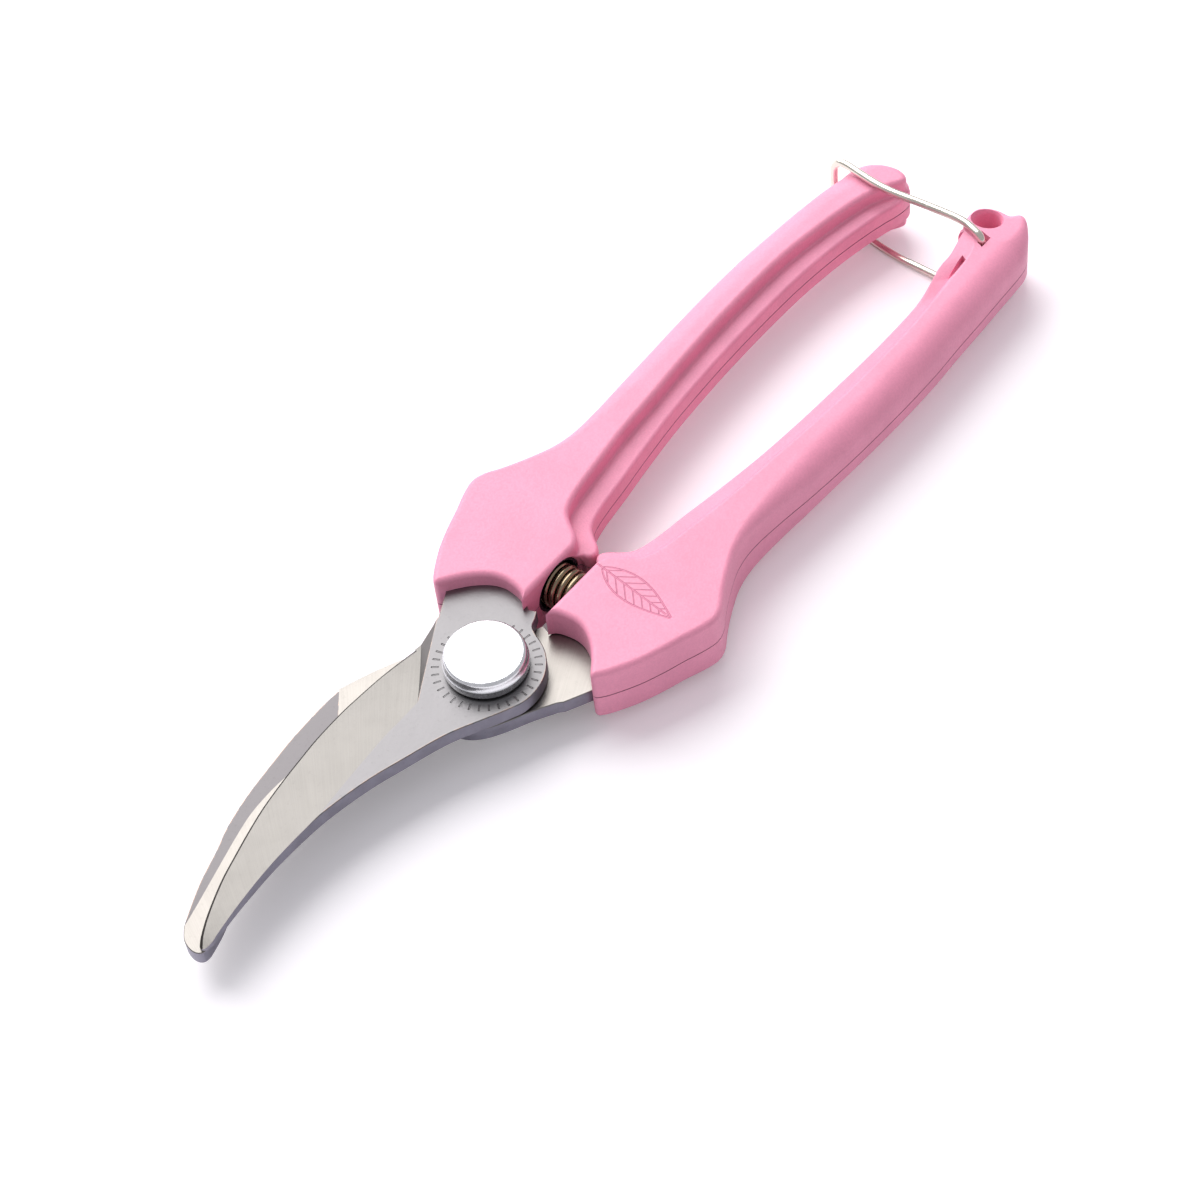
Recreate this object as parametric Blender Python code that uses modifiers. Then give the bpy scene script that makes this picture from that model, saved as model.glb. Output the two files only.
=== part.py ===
"""Bypass pruning shears with curved blades, moulded half-shell handles and a wire catch.

The tool lies flat, closed and latched. +Y runs from the blades to the handle ends, +X is the
side of the handle with the hang hole, and +Z is up. The drawing is made about the pivot, and the
empty "shears_frame" then moves it so that the middle of its lowest plane is the origin.
"""

import math

import bmesh
import bpy
from mathutils import Matrix, Vector

MM = 0.001

# Handles
HANDLE_THICKNESS = 0.0120  # both shells together
LEDGE_THICKNESS = 0.0060  # the thinner web along the inside of each grip
SEAM_GAP = 0.00015  # between the two shells of a handle
HEAD_LENGTH = 0.0320  # from the pivot to where the grip begins
GRIP_LENGTH = 0.1000  # from there to the end of the longer handle
HEAD_GAP = 0.0050  # between the two heads, where the spring shows
STOP_GAP = 0.0003  # between the two closing stops
HEAD_ROUNDING = 0.0010  # edge radius of the heads and of the inner edges
GRIP_ROUNDING = 0.0034  # edge radius along the outside of the grips

# Blades
BLADE_THICKNESS = 0.0028
BLADE_REACH = 0.0546  # from the heel of the blades to their tips
BLADE_HEEL = 0.0120  # from the pivot to the heel
EDGE_THICKNESS = 0.0003  # what the grinding leaves at the cutting edge
BOSS_RADIUS = 0.0097
RUNNING_GAP = 0.0003  # between faces that slide on each other

# Pivot
BOLT_RADIUS = 0.0035
BOLT_HEAD_RADIUS = 0.0071
BOLT_HEAD_HEIGHT = 0.0034
WASHER_RADIUS = 0.0066
WASHER_THICKNESS = 0.0008
NUT_ACROSS_FLATS = 0.0110
BORE_CLEARANCE = 0.0001

# Return spring and its seats
SPRING_Y = 0.0214
SPRING_WIRE = 0.0012
SPRING_PLAY = 0.0004  # between the spring and its seats' walls
SPRING_TURNS = 13
SPRING_STEPS = 14  # points in one turn
SEAT_COVER = 0.0010  # what is left of the handle above and below a seat
SEAT_WALL = 0.0005
SEAT_FLOOR = 0.0010
SEAT_DEPTH = 0.0078
SEAT_RECESS = 0.0003  # the seat's rim below the head's inner face

# Tangs and the pins that key them to the shells
TANG_CLEARANCE = 0.0003
PIN_RADIUS = 0.0010
PIN_COVER = 0.0015  # what is left of the shell over each end of a pin
PIN_CLEARANCE = 0.0002

# Wire catch and hang hole
CATCH_WIRE = 0.0016
CATCH_CLEARANCE = 0.00015  # between the wire's legs and the faces of the handles
CATCH_PIN_DEPTH = 0.0036  # how far each end of the wire goes into the handle
CATCH_BEND = 0.0013
CATCH_REACH_X = -0.0205  # where the wire passes the outside of the other handle
CATCH_WINDOW = 0.0026
CATCH_CHANNEL_DEPTH = 0.0014
HANG_HOLE_RADIUS = 0.00245

ROUND_STEPS = 32

SEAT_RADIUS = HANDLE_THICKNESS / 2 - SEAT_COVER
SPRING_RADIUS = SEAT_RADIUS - SEAT_WALL - SPRING_PLAY - SPRING_WIRE / 2
PIN_LENGTH = HANDLE_THICKNESS - 2 * PIN_COVER
MID_Z = HANDLE_THICKNESS / 2
COUNTER_Z = (MID_Z - RUNNING_GAP / 2 - BLADE_THICKNESS, MID_Z - RUNNING_GAP / 2)
CUTTING_Z = (MID_Z + RUNNING_GAP / 2, MID_Z + RUNNING_GAP / 2 + BLADE_THICKNESS)
LEG_LIFT = HANDLE_THICKNESS / 2 + CATCH_CLEARANCE + CATCH_WIRE / 2
LOWEST_Z = MID_Z - LEG_LIFT - CATCH_WIRE / 2
TIP_Y = -(BLADE_HEEL + BLADE_REACH)
END_Y = HEAD_LENGTH + GRIP_LENGTH


def head(x, y):
    """A point of the head, in mm from the pivot."""
    return Vector((x * MM, y * MM))


def grip(x, share):
    """A point beside the grip: x in mm, and its share of the way from the head to the handle's end."""
    return Vector((x * MM, HEAD_LENGTH + share * GRIP_LENGTH))


def blade(x, share):
    """A point of a blade: x in mm, and its share of the way from the heel to the tip."""
    return Vector((x * MM, -BLADE_HEEL - share * BLADE_REACH))


CATCH_HINGE = grip(12.8, 0.897)
HANG_HOLE = grip(10.1, 0.956)
NEAR_PIN = head(16.2, 29.0)
FAR_PIN = grip(16.3, 0.34)


# ---------------------------------------------------------------- lines


def smooth_line(points, count):
    """count points, evenly spaced, along a smooth curve through the given points."""
    fine = []
    for i in range(len(points) - 1):
        before = points[max(i - 1, 0)]
        start, end = points[i], points[i + 1]
        after = points[min(i + 2, len(points) - 1)]
        for step in range(12):
            t = step / 12
            fine.append(
                0.5
                * (
                    2 * start
                    + (end - before) * t
                    + (2 * before - 5 * start + 4 * end - after) * t**2
                    + (3 * start - before - 3 * end + after) * t**3
                )
            )
    fine.append(points[-1].copy())
    reached = [0.0]
    for a, b in zip(fine, fine[1:]):
        reached.append(reached[-1] + (b - a).length)
    line, k = [], 0
    for i in range(count):
        goal = reached[-1] * i / (count - 1)
        while k < len(fine) - 2 and reached[k + 1] < goal:
            k += 1
        span = reached[k + 1] - reached[k]
        line.append(fine[k].lerp(fine[k + 1], (goal - reached[k]) / span))
    return line


def arc(centre, radius, start_deg, end_deg, count):
    angles = [math.radians(start_deg + (end_deg - start_deg) * i / (count - 1)) for i in range(count)]
    return [centre + radius * Vector((math.cos(a), math.sin(a))) for a in angles]


def twice_area(loop):
    return sum(a.x * b.y - b.x * a.y for a, b in zip(loop, loop[1:] + loop[:1]))


def inset_loop(loop, depths):
    """The closed loop moved inwards by its own depth at each point. A negative depth moves it outwards."""
    turn = 1 if twice_area(loop) > 0 else -1
    moved = []
    for i, point in enumerate(loop):
        along = (loop[(i + 1) % len(loop)] - loop[i - 1]).normalized()
        moved.append(point + turn * depths[i] * Vector((-along.y, along.x)))
    return moved


def grown(loop, distance):
    return inset_loop(loop, [-distance] * len(loop))


# ---------------------------------------------------------------- solids


def object_from(bm, name):
    bmesh.ops.recalc_face_normals(bm, faces=bm.faces)
    mesh = bpy.data.meshes.new(name)
    bm.to_mesh(mesh)
    bm.free()
    return bpy.data.objects.new(name, mesh)


def loft(name, rings):
    """A closed solid through rings that all have the same number of points."""
    bm = bmesh.new()
    rows = [[bm.verts.new(point) for point in ring] for ring in rings]
    for low, high in zip(rows, rows[1:]):
        for i in range(len(low)):
            j = (i + 1) % len(low)
            bm.faces.new((low[i], low[j], high[j], high[i]))
    bm.faces.new(rows[0])
    bm.faces.new(rows[-1])
    bmesh.ops.remove_doubles(bm, verts=bm.verts, dist=1e-6)
    return object_from(bm, name)


def flat_outline(name, loop, z_low, z_high):
    """A plate of the given outline: a filled flat curve with thickness, made a mesh."""
    curve = bpy.data.curves.new(name, "CURVE")
    curve.dimensions = "2D"
    curve.fill_mode = "BOTH"
    curve.extrude = (z_high - z_low) / 2
    spline = curve.splines.new("POLY")
    spline.points.add(len(loop) - 1)
    for point, place in zip(spline.points, loop):
        point.co = (place.x, place.y, 0, 1)
    spline.use_cyclic_u = True
    return solid_of_curve(name, curve, Matrix.Translation((0, 0, (z_low + z_high) / 2)))


def solid_of_curve(name, curve, place):
    """The curve as a mesh object with its caps welded on."""
    drawn = bpy.data.objects.new(name, curve)
    bpy.context.scene.collection.objects.link(drawn)
    graph = bpy.context.evaluated_depsgraph_get()
    mesh = bpy.data.meshes.new_from_object(drawn.evaluated_get(graph))
    bpy.data.objects.remove(drawn)
    bpy.data.curves.remove(curve)
    bm = bmesh.new()
    bm.from_mesh(mesh)
    bpy.data.meshes.remove(mesh)
    bmesh.ops.remove_doubles(bm, verts=bm.verts, dist=1e-6)
    bmesh.ops.transform(bm, matrix=place, verts=bm.verts)
    return object_from(bm, name)


def rod(name, centre, radius, z_low, z_high):
    bm = bmesh.new()
    bmesh.ops.create_cone(
        bm,
        cap_ends=True,
        segments=ROUND_STEPS,
        radius1=radius,
        radius2=radius,
        depth=z_high - z_low,
        matrix=Matrix.Translation((centre.x, centre.y, (z_low + z_high) / 2)),
    )
    return object_from(bm, name)


def turned(name, profile, ring=False):
    """A solid turned about Z from a profile of (radius, height), top to bottom down its outer side."""
    mesh = bpy.data.meshes.new(name)
    points = [(radius, 0, height) for radius, height in profile]
    edges = [(i, i + 1) for i in range(len(points) - 1)]
    if ring:
        edges.append((len(points) - 1, 0))
    mesh.from_pydata(points, edges, [])
    made = bpy.data.objects.new(name, mesh)
    screw = made.modifiers.new("Turn", "SCREW")
    screw.axis = "Z"
    screw.steps = ROUND_STEPS
    screw.render_steps = ROUND_STEPS
    screw.use_merge_vertices = True
    screw.merge_threshold = 1e-6
    return made


def wire(name, points, thickness, resolution):
    """A round wire along the points, as a curve with filled ends."""
    curve = bpy.data.curves.new(name, "CURVE")
    curve.dimensions = "3D"
    curve.bevel_depth = thickness / 2
    curve.bevel_resolution = resolution
    curve.use_fill_caps = True
    spline = curve.splines.new("POLY")
    spline.points.add(len(points) - 1)
    for point, place in zip(spline.points, points):
        point.co = (*place, 1)
    return bpy.data.objects.new(name, curve)


def cut(target, cutter):
    """Takes the cutter out of the target, and keeps the cutter as a hidden guide."""
    CUTTERS.objects.link(cutter)
    cutter.parent = FRAME
    cutter.hide_render = True
    cutter.display_type = "WIRE"
    difference = target.modifiers.new(cutter.name, "BOOLEAN")
    difference.operation = "DIFFERENCE"
    difference.solver = "EXACT"
    difference.object = cutter


def material(name, colour, roughness, metallic):
    made = bpy.data.materials.new(name)
    made.use_nodes = True
    shader = made.node_tree.nodes["Principled BSDF"]
    shader.inputs["Base Color"].default_value = (*colour, 1)
    shader.inputs["Roughness"].default_value = roughness
    shader.inputs["Metallic"].default_value = metallic
    return made


def part(made, parent, finish):
    """Puts a finished piece in the tool's collection, under the empty that it moves with."""
    SHEARS.objects.link(made)
    made.parent = parent
    made.data.materials.clear()
    made.data.materials.append(finish)
    if made.type == "MESH":
        made.data.shade_smooth()
        made.data.set_sharp_from_angle(angle=math.radians(30))
    return made


def place(name, parent, x=0.0, y=0.0, z=0.0):
    empty = bpy.data.objects.new(name, None)
    SHEARS.objects.link(empty)
    empty.parent = parent
    empty.location = (x, y, z)
    return empty


# ---------------------------------------------------------------- handles

STOP_X = STOP_GAP / 2 / MM
FACE_X = HEAD_GAP / 2 / MM

OUTER_SIDE = [
    head(16.6, 6.3), head(18.2, 8.2), head(19.7, 10.6), head(21.2, 13.4), head(22.8, 17.3),
    head(24.0, 20.8), head(25.3, 24.2), head(26.0, 27.2), head(25.4, 29.6),
    grip(23.9, 0.0), grip(22.5, 0.025), grip(21.0, 0.056), grip(19.8, 0.086), grip(19.1, 0.12),
    grip(19.0, 0.16), grip(19.5, 0.22), grip(20.3, 0.29), grip(21.1, 0.39), grip(21.5, 0.49),
    grip(21.6, 0.57), grip(21.5, 0.64), grip(21.1, 0.71), grip(20.5, 0.79), grip(19.7, 0.86),
    grip(18.9, 0.9),
]  # fmt: skip
TAB_END = [
    grip(18.9, 0.9), grip(18.5, 0.93), grip(17.6, 0.96), grip(16.2, 0.985), grip(14.7, 1.0),
    grip(13.6, 0.995), grip(12.9, 0.989), grip(11.4, 0.991), grip(9.6, 0.99), grip(7.9, 0.983),
    grip(6.8, 0.97), grip(6.6, 0.95), grip(7.0, 0.92), grip(7.3, 0.89),
]  # fmt: skip
PLAIN_END = [
    grip(18.9, 0.9), grip(18.4, 0.93), grip(17.2, 0.95), grip(15.4, 0.963), grip(13.2, 0.97),
    grip(10.6, 0.971), grip(8.2, 0.968), grip(6.7, 0.956), grip(6.3, 0.94), grip(6.6, 0.915),
    grip(7.3, 0.89),
]  # fmt: skip
PLAIN_BODY_END = [*PLAIN_END[:7], grip(7.3, 0.962), grip(7.0, 0.95)]
LEDGE_SIDE = [
    grip(7.3, 0.89), grip(8.4, 0.84), grip(9.5, 0.77), grip(10.3, 0.68), grip(10.5, 0.58),
    grip(10.3, 0.47), grip(9.9, 0.39), grip(9.1, 0.29), grip(7.8, 0.19), grip(6.7, 0.12),
    grip(5.7, 0.05), grip(4.6, 0.01), head(2.9, 31.2), head(1.0, 29.9), head(STOP_X, 28.5),
    head(0.8, 27.2), head(1.9, 26.8), head(FACE_X, 25.9),
]  # fmt: skip
TAB_STEP = [
    grip(7.3, 0.89), grip(9.0, 0.888), grip(10.6, 0.872), grip(11.6, 0.84), grip(12.7, 0.78),
    grip(13.8, 0.68), grip(14.1, 0.58), grip(13.9, 0.48), grip(13.3, 0.38), grip(12.4, 0.28),
    grip(11.6, 0.18), grip(10.2, 0.08), grip(9.4, 0.03), head(8.3, 31.6), head(6.7, 29.9),
    head(4.6, 28.6), head(3.2, 27.4), head(FACE_X, 25.9),
]  # fmt: skip
PLAIN_STEP = [
    grip(7.0, 0.95), grip(8.3, 0.93), grip(9.7, 0.905), grip(11.2, 0.86), grip(12.7, 0.78),
    *TAB_STEP[5:],
]  # fmt: skip
NOTCH = [
    head(FACE_X, 12.2), head(3.4, 13.2), head(5.4, 13.8), head(7.9, 13.9), head(10.2, 13.1),
    head(12.5, 11.4), head(14.4, 9.3), head(15.6, 7.6), head(16.6, 6.3),
]  # fmt: skip


def handle_loops(end, body_end, step):
    """The handle's outline at its web and at its raised body, and how far each point's edge is rounded.

    Both loops have the same points in the same order, so that a loft can join them.
    """
    outer = smooth_line(OUTER_SIDE, 40)
    face = [head(FACE_X, 25.9), head(FACE_X, 12.2)]
    notch = smooth_line(NOTCH, 14)
    around = smooth_line(end, 20)
    web = outer + around[1:] + smooth_line(LEDGE_SIDE, 42)[1:] + face[1:] + notch[1:-1]
    body = outer + smooth_line(body_end, 20)[1:] + smooth_line(step, 42)[1:] + face[1:] + notch[1:-1]
    rounding = []
    for i, point in enumerate(body):
        along = min(max((point.y - HEAD_LENGTH + 0.001) / 0.016, 0), 1)
        if i >= len(outer) + len(around) - 1:
            along = 0.0
        elif i >= len(outer):
            along = max(1 - (i - len(outer)) / 9, 0.0)
        rounding.append(HEAD_ROUNDING + (GRIP_ROUNDING - HEAD_ROUNDING) * along)
    return web, body, rounding


def half_shell(name, side, up, loops):
    """One shell of a handle: side is 1 or -1 along X, and up is 1 for the upper shell or -1."""
    web, body, rounding = loops
    half = HANDLE_THICKNESS / 2
    ledge = LEDGE_THICKNESS / 2
    start = min(half - GRIP_ROUNDING, ledge * 0.8)
    heights = [(web, SEAM_GAP / 2), (web, start), (web, ledge), (body, ledge)]
    for share in (0.3, 0.55, 0.75, 0.9, 1.0):
        heights.append((body, ledge + (half - ledge) * share))
    rings = []
    for loop, height in heights:
        depths = []
        for radius in rounding:
            above = max(height - (half - radius), 0) / radius
            depths.append(radius * (1 - math.sqrt(max(1 - above**2, 0))))
        ring = inset_loop(loop, depths)
        rings.append([(side * p.x, p.y, MID_Z + up * height) for p in ring])
    return loft(name, rings)


def tang_loop():
    """The part of a blade that lies inside its handle, from the neck round the tang and back."""
    outer = [
        head(13.0, 3.2), head(13.8, 5.6), head(15.3, 8.0), head(17.2, 11.6), head(19.0, 17.0),
        head(20.1, 23.0), head(20.0, 28.0), grip(18.4, 0.03), grip(17.4, 0.08), grip(17.1, 0.14),
        grip(17.5, 0.22), grip(18.1, 0.3), grip(18.7, 0.38),
    ]  # fmt: skip
    tip = [grip(18.7, 0.38), grip(18.8, 0.42), grip(17.9, 0.44), grip(16.0, 0.44), grip(14.9, 0.43)]
    inner = [
        grip(14.9, 0.43), grip(14.5, 0.36), grip(14.0, 0.28), grip(13.4, 0.2), grip(12.9, 0.1),
        grip(12.5, 0.03), head(12.3, 27.0), head(12.2, 20.0), head(11.9, 16.4), head(10.6, 14.9),
        head(8.0, 14.7), head(5.0, 14.5), head(3.2, 13.6), head(1.6, 12.8), head(0.5, 13.3),
    ]  # fmt: skip
    return smooth_line(outer, 22)[:-1] + smooth_line(tip, 8)[:-1] + smooth_line(inner, 26)


def tang_pocket(name, side, up, z_blade):
    """The room for the tang in the shell that holds it. It opens at the seam and at the notch."""
    loop = grown(tang_loop(), TANG_CLEARANCE)
    neck = [head(0.5, 11.0), head(3.0, 9.0), head(11.5, 2.0)]
    loop = [Vector((side * p.x, p.y)) for p in loop + neck]
    far = z_blade[1] + TANG_CLEARANCE if up > 0 else z_blade[0] - TANG_CLEARANCE
    near = MID_Z - up * SEAM_GAP * 2
    return flat_outline(name, loop, min(near, far), max(near, far))


def seat_bore(name, side):
    """The round recess for a spring seat, open at the head's inner face."""
    depth = SEAT_RECESS + SEAT_DEPTH + BORE_CLEARANCE
    bm = bmesh.new()
    # A flat and not a corner of the bore stands uppermost, so that no line of the shell meets a corner.
    turn = Matrix.Rotation(math.radians(90), 4, "Y") @ Matrix.Rotation(math.pi / ROUND_STEPS, 4, "Z")
    middle = side * (HEAD_GAP / 2 + depth / 2 - HEAD_GAP / 4)
    bmesh.ops.create_cone(
        bm,
        cap_ends=True,
        segments=ROUND_STEPS,
        radius1=SEAT_RADIUS + BORE_CLEARANCE,
        radius2=SEAT_RADIUS + BORE_CLEARANCE,
        depth=depth + HEAD_GAP / 2,
        matrix=Matrix.Translation((middle, SPRING_Y, MID_Z)) @ turn,
    )
    return object_from(bm, name)


def make_handle(word, side, parent, finish):
    loops = handle_loops(PLAIN_END, PLAIN_BODY_END, PLAIN_STEP)
    if side > 0:
        loops = handle_loops(TAB_END, TAB_END, TAB_STEP)
    blade_up = -1 if side > 0 else 1
    z_blade = COUNTER_Z if side > 0 else CUTTING_Z
    for level, up in (("upper", 1), ("lower", -1)):
        name = f"{word}_handle_{level}_shell"
        shell = half_shell(name, side, up, loops)
        cut(shell, seat_bore(f"{name}_seat_bore", side))
        if up == blade_up:
            cut(shell, tang_pocket(f"{name}_tang_pocket", side, up, z_blade))
        for number, pin in ((1, NEAR_PIN), (2, FAR_PIN)):
            reach = PIN_LENGTH / 2 + PIN_CLEARANCE
            spot = Vector((side * pin.x, pin.y))
            radius = PIN_RADIUS + PIN_CLEARANCE
            cut(shell, rod(f"{name}_pin_hole_{number}", spot, radius, MID_Z - reach, MID_Z + reach))
        if side > 0:
            cut_tab(shell, name, up)
        part(shell, parent, finish)


def cut_tab(shell, name, up):
    """The hang hole, and the window, hole and channel for the wire catch."""
    past = HANDLE_THICKNESS
    cut(shell, rod(f"{name}_hang_hole", HANG_HOLE, HANG_HOLE_RADIUS, MID_Z - past, MID_Z + past))
    face = MID_Z + up * HANDLE_THICKNESS / 2
    bottom = face - up * (CATCH_PIN_DEPTH + CATCH_CLEARANCE)
    radius = CATCH_WIRE / 2 + BORE_CLEARANCE
    ends = sorted((bottom, face + up * MM))
    cut(shell, rod(f"{name}_catch_hole", CATCH_HINGE, radius, *ends))
    half = CATCH_WINDOW / 2
    low, high = sorted((face - up * CATCH_CHANNEL_DEPTH, face + up * MM))
    channel = [
        CATCH_HINGE + Vector((half, -half)),
        CATCH_HINGE + Vector((half, half)),
        CATCH_HINGE + Vector((-half * 2.6, half * 1.5)),
        CATCH_HINGE + Vector((-half * 5.5, half * 1.5)),
        CATCH_HINGE + Vector((-half * 5.5, -half * 0.2)),
        CATCH_HINGE + Vector((-half * 2.6, -half * 0.2)),
    ]
    cut(shell, flat_outline(f"{name}_catch_window", channel, low, high))


# ---------------------------------------------------------------- blades

CUTTING_EDGE = [
    head(-12.9, 1.7), head(-13.2, -2.0), head(-13.9, -6.3), head(-14.3, -10.3),
    blade(-14.7, 0.08), blade(-14.8, 0.15), blade(-14.6, 0.25), blade(-14.1, 0.335),
    blade(-13.5, 0.42), blade(-12.6, 0.518), blade(-11.5, 0.6), blade(-9.9, 0.7),
    blade(-8.4, 0.785), blade(-6.1, 0.883), blade(-4.1, 0.95), blade(-2.9, 0.978),
]  # fmt: skip
CUTTING_TIP = [blade(-2.9, 0.978), blade(-2.2, 0.984), blade(-1.5, 0.974), blade(-1.3, 0.95)]
CUTTING_SPINE = [
    blade(-1.3, 0.95), blade(-1.6, 0.918), blade(-2.4, 0.8), blade(-2.9, 0.656), blade(-2.7, 0.5),
    blade(-1.9, 0.39), blade(-0.6, 0.28), blade(0.9, 0.19), blade(2.9, 0.073), head(4.3, -12.6),
    head(6.1, -9.2), head(8.2, -5.2),
]  # fmt: skip
BEVEL_LINE = [
    head(-12.7, 1.7), head(-9.7, -3.4), head(-7.5, -6.9), head(-4.4, -12.0), blade(-4.3, 0.08),
    blade(-4.3, 0.15), blade(-3.9, 0.25), blade(-3.5, 0.335), blade(-3.0, 0.42),
    blade(-2.5, 0.5), blade(-1.9, 0.57), blade(-0.9, 0.67), blade(0.3, 0.76), blade(2.0, 0.86),
    blade(3.4, 0.93), blade(4.6, 0.97),
]  # fmt: skip
COUNTER_OUTER = [
    head(-9.6, 1.2), head(-11.2, -0.8), head(-13.6, -4.6), head(-16.2, -9.8), blade(-18.7, 0.079),
]  # fmt: skip
COUNTER_BACK = [
    blade(-18.7, 0.079), blade(-18.8, 0.16), blade(-18.4, 0.29), blade(-17.7, 0.39),
    blade(-16.6, 0.52), blade(-15.1, 0.63), blade(-13.4, 0.708), blade(-11.5, 0.81),
    blade(-9.5, 0.89), blade(-7.6, 0.955),
]  # fmt: skip
COUNTER_TIP = [
    blade(-7.6, 0.955), blade(-6.0, 0.985), blade(-4.0, 1.0), blade(-1.8, 0.998),
    blade(-0.7, 0.985), blade(-0.8, 0.965),
]  # fmt: skip
COUNTER_EDGE = [
    blade(-0.8, 0.965), blade(-2.6, 0.9), blade(-4.9, 0.81), blade(-6.7, 0.72), blade(-8.3, 0.62),
    blade(-9.6, 0.52), blade(-10.7, 0.41), blade(-11.4, 0.29), blade(-11.5, 0.18),
    blade(-10.4, 0.07), head(-8.0, -12.6), head(-4.0, -11.4), head(0.0, -11.4), head(3.6, -10.4),
    head(6.0, -8.4), head(8.0, -5.3), head(10.0, -1.4), head(12.3, 2.4),
]  # fmt: skip


def pivot_side(start_deg, end_deg, count):
    return arc(Vector((0, 0)), BOSS_RADIUS, start_deg, end_deg, count)


def cutting_outline():
    """Round the cutting blade: edge, tip, spine, boss, then the neck and tang on the -X side."""
    tang = [Vector((-p.x, p.y)) for p in tang_loop()]
    edge = smooth_line(CUTTING_EDGE, 34)
    tip = smooth_line(CUTTING_TIP, 5)
    spine = smooth_line(CUTTING_SPINE, 26)
    neck = [head(2.2, 9.6), head(0.8, 10.5), head(0.2, 12.0)]
    loop = edge[:-1] + tip[:-1] + spine + pivot_side(-18, 70, 14) + neck + tang[::-1]
    return loop


def counter_outline():
    """Round the counter blade: neck and tang on the +X side, boss, hooked back, tip and inner edge."""
    tang = tang_loop()
    outer = smooth_line(COUNTER_OUTER, 8)
    back = smooth_line(COUNTER_BACK, 22)
    tip = smooth_line(COUNTER_TIP, 9)
    edge = smooth_line(COUNTER_EDGE, 44)
    neck = [head(-0.2, 12.0), head(-0.8, 10.5), head(-2.2, 9.6)]
    return tang + neck + pivot_side(110, 165, 9) + outer[:-1] + back[:-1] + tip[:-1] + edge


def grinding(name, line, edge, z_face, z_back):
    """The wedge that grinding takes off a blade between a line on its face and its edge."""
    rings = []
    up = 1 if z_face > z_back else -1
    for start, end in zip(line, edge):
        along = end - start
        slope = (z_face - z_back - up * EDGE_THICKNESS) / max(along.length, MM)
        outward = along.normalized()
        far = end + outward * MM
        near = start - outward * MM * 0.2
        rings.append(
            [
                (near.x, near.y, z_face + slope * MM * 0.2),
                (far.x, far.y, z_back + up * EDGE_THICKNESS - slope * MM),
                (far.x, far.y, z_face + up * 3 * MM),
                (near.x, near.y, z_face + up * 3 * MM),
            ]
        )
    return loft(name, rings)


def drill(target, name, side):
    """The bore for the pivot bolt and the holes for the two pins of the tang."""
    past = HANDLE_THICKNESS
    cut(target, rod(f"{name}_bore", Vector((0, 0)), BOLT_RADIUS + BORE_CLEARANCE, -past, past * 2))
    for number, pin in ((1, NEAR_PIN), (2, FAR_PIN)):
        spot = Vector((side * pin.x, pin.y))
        cut(target, rod(f"{name}_pin_hole_{number}", spot, PIN_RADIUS + PIN_CLEARANCE, -past, past * 2))


def make_cutting_blade(parent, finish):
    made = flat_outline("cutting_blade", cutting_outline(), *CUTTING_Z)
    line = smooth_line(BEVEL_LINE, 30)
    edge = smooth_line(CUTTING_EDGE[:-1] + [blade(-2.4, 0.99)], 30)
    cut(made, grinding("cutting_blade_grinding", line, edge, CUTTING_Z[1], CUTTING_Z[0]))
    drill(made, "cutting_blade", -1)
    part(made, parent, finish)


def make_counter_blade(parent, finish):
    made = flat_outline("counter_blade", counter_outline(), *COUNTER_Z)
    drill(made, "counter_blade", 1)
    part(made, parent, finish)


# ---------------------------------------------------------------- pivot


def make_pivot(parent, bolt_finish, plain_finish):
    head_low = CUTTING_Z[1] + RUNNING_GAP
    head_top = head_low + BOLT_HEAD_HEIGHT
    lip = BOLT_HEAD_RADIUS
    end = LOWEST_Z + 0.6 * MM
    profile = [
        (0, head_top), (lip - 1.1 * MM, head_top), (lip - 0.6 * MM, head_top - 0.15 * MM),
        (lip - 0.2 * MM, head_top - 0.6 * MM), (lip, head_top - 1.3 * MM), (lip, head_low + 0.4 * MM),
        (lip - 0.4 * MM, head_low), (BOLT_RADIUS, head_low), (BOLT_RADIUS, end + 0.4 * MM),
        (BOLT_RADIUS - 0.4 * MM, end), (0, end),
    ]  # fmt: skip
    part(turned("pivot_bolt", profile), parent, bolt_finish)

    washer_top = COUNTER_Z[0] - BORE_CLEARANCE
    washer_low = washer_top - WASHER_THICKNESS
    inner = BOLT_RADIUS + BORE_CLEARANCE
    ring = [
        (inner, washer_top), (WASHER_RADIUS, washer_top), (WASHER_RADIUS, washer_low),
        (inner, washer_low),
    ]  # fmt: skip
    part(turned("pivot_washer", ring, ring=True), parent, plain_finish)

    nut_top = washer_low - BORE_CLEARANCE
    bm = bmesh.new()
    bmesh.ops.create_cone(
        bm,
        cap_ends=True,
        segments=6,
        radius1=NUT_ACROSS_FLATS / math.sqrt(3),
        radius2=NUT_ACROSS_FLATS / math.sqrt(3),
        depth=nut_top - LOWEST_Z,
        matrix=Matrix.Translation((0, 0, (nut_top + LOWEST_Z) / 2)),
    )
    nut = object_from(bm, "pivot_nut")
    corner = nut.modifiers.new("Corners", "BEVEL")
    corner.width = 0.3 * MM
    corner.segments = 1
    cut(nut, rod("pivot_nut_bore", Vector((0, 0)), inner, LOWEST_Z - MM, nut_top + MM))
    part(nut, parent, plain_finish)


# ---------------------------------------------------------------- spring


def make_seat(word, side, parent, finish):
    """A cup with its floor away from the gap, turned about X."""
    inner = SEAT_RADIUS - SEAT_WALL
    profile = [
        (0, SEAT_FLOOR), (inner, SEAT_FLOOR), (inner, SEAT_DEPTH), (SEAT_RADIUS, SEAT_DEPTH),
        (SEAT_RADIUS, 0), (0, 0),
    ]  # fmt: skip
    seat = part(turned(f"{word}_spring_seat", profile), parent, finish)
    seat.location = (side * (HEAD_GAP / 2 + SEAT_RECESS + SEAT_DEPTH), SPRING_Y, MID_Z)
    seat.rotation_euler = (0, math.radians(-90 * side), 0)


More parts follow.
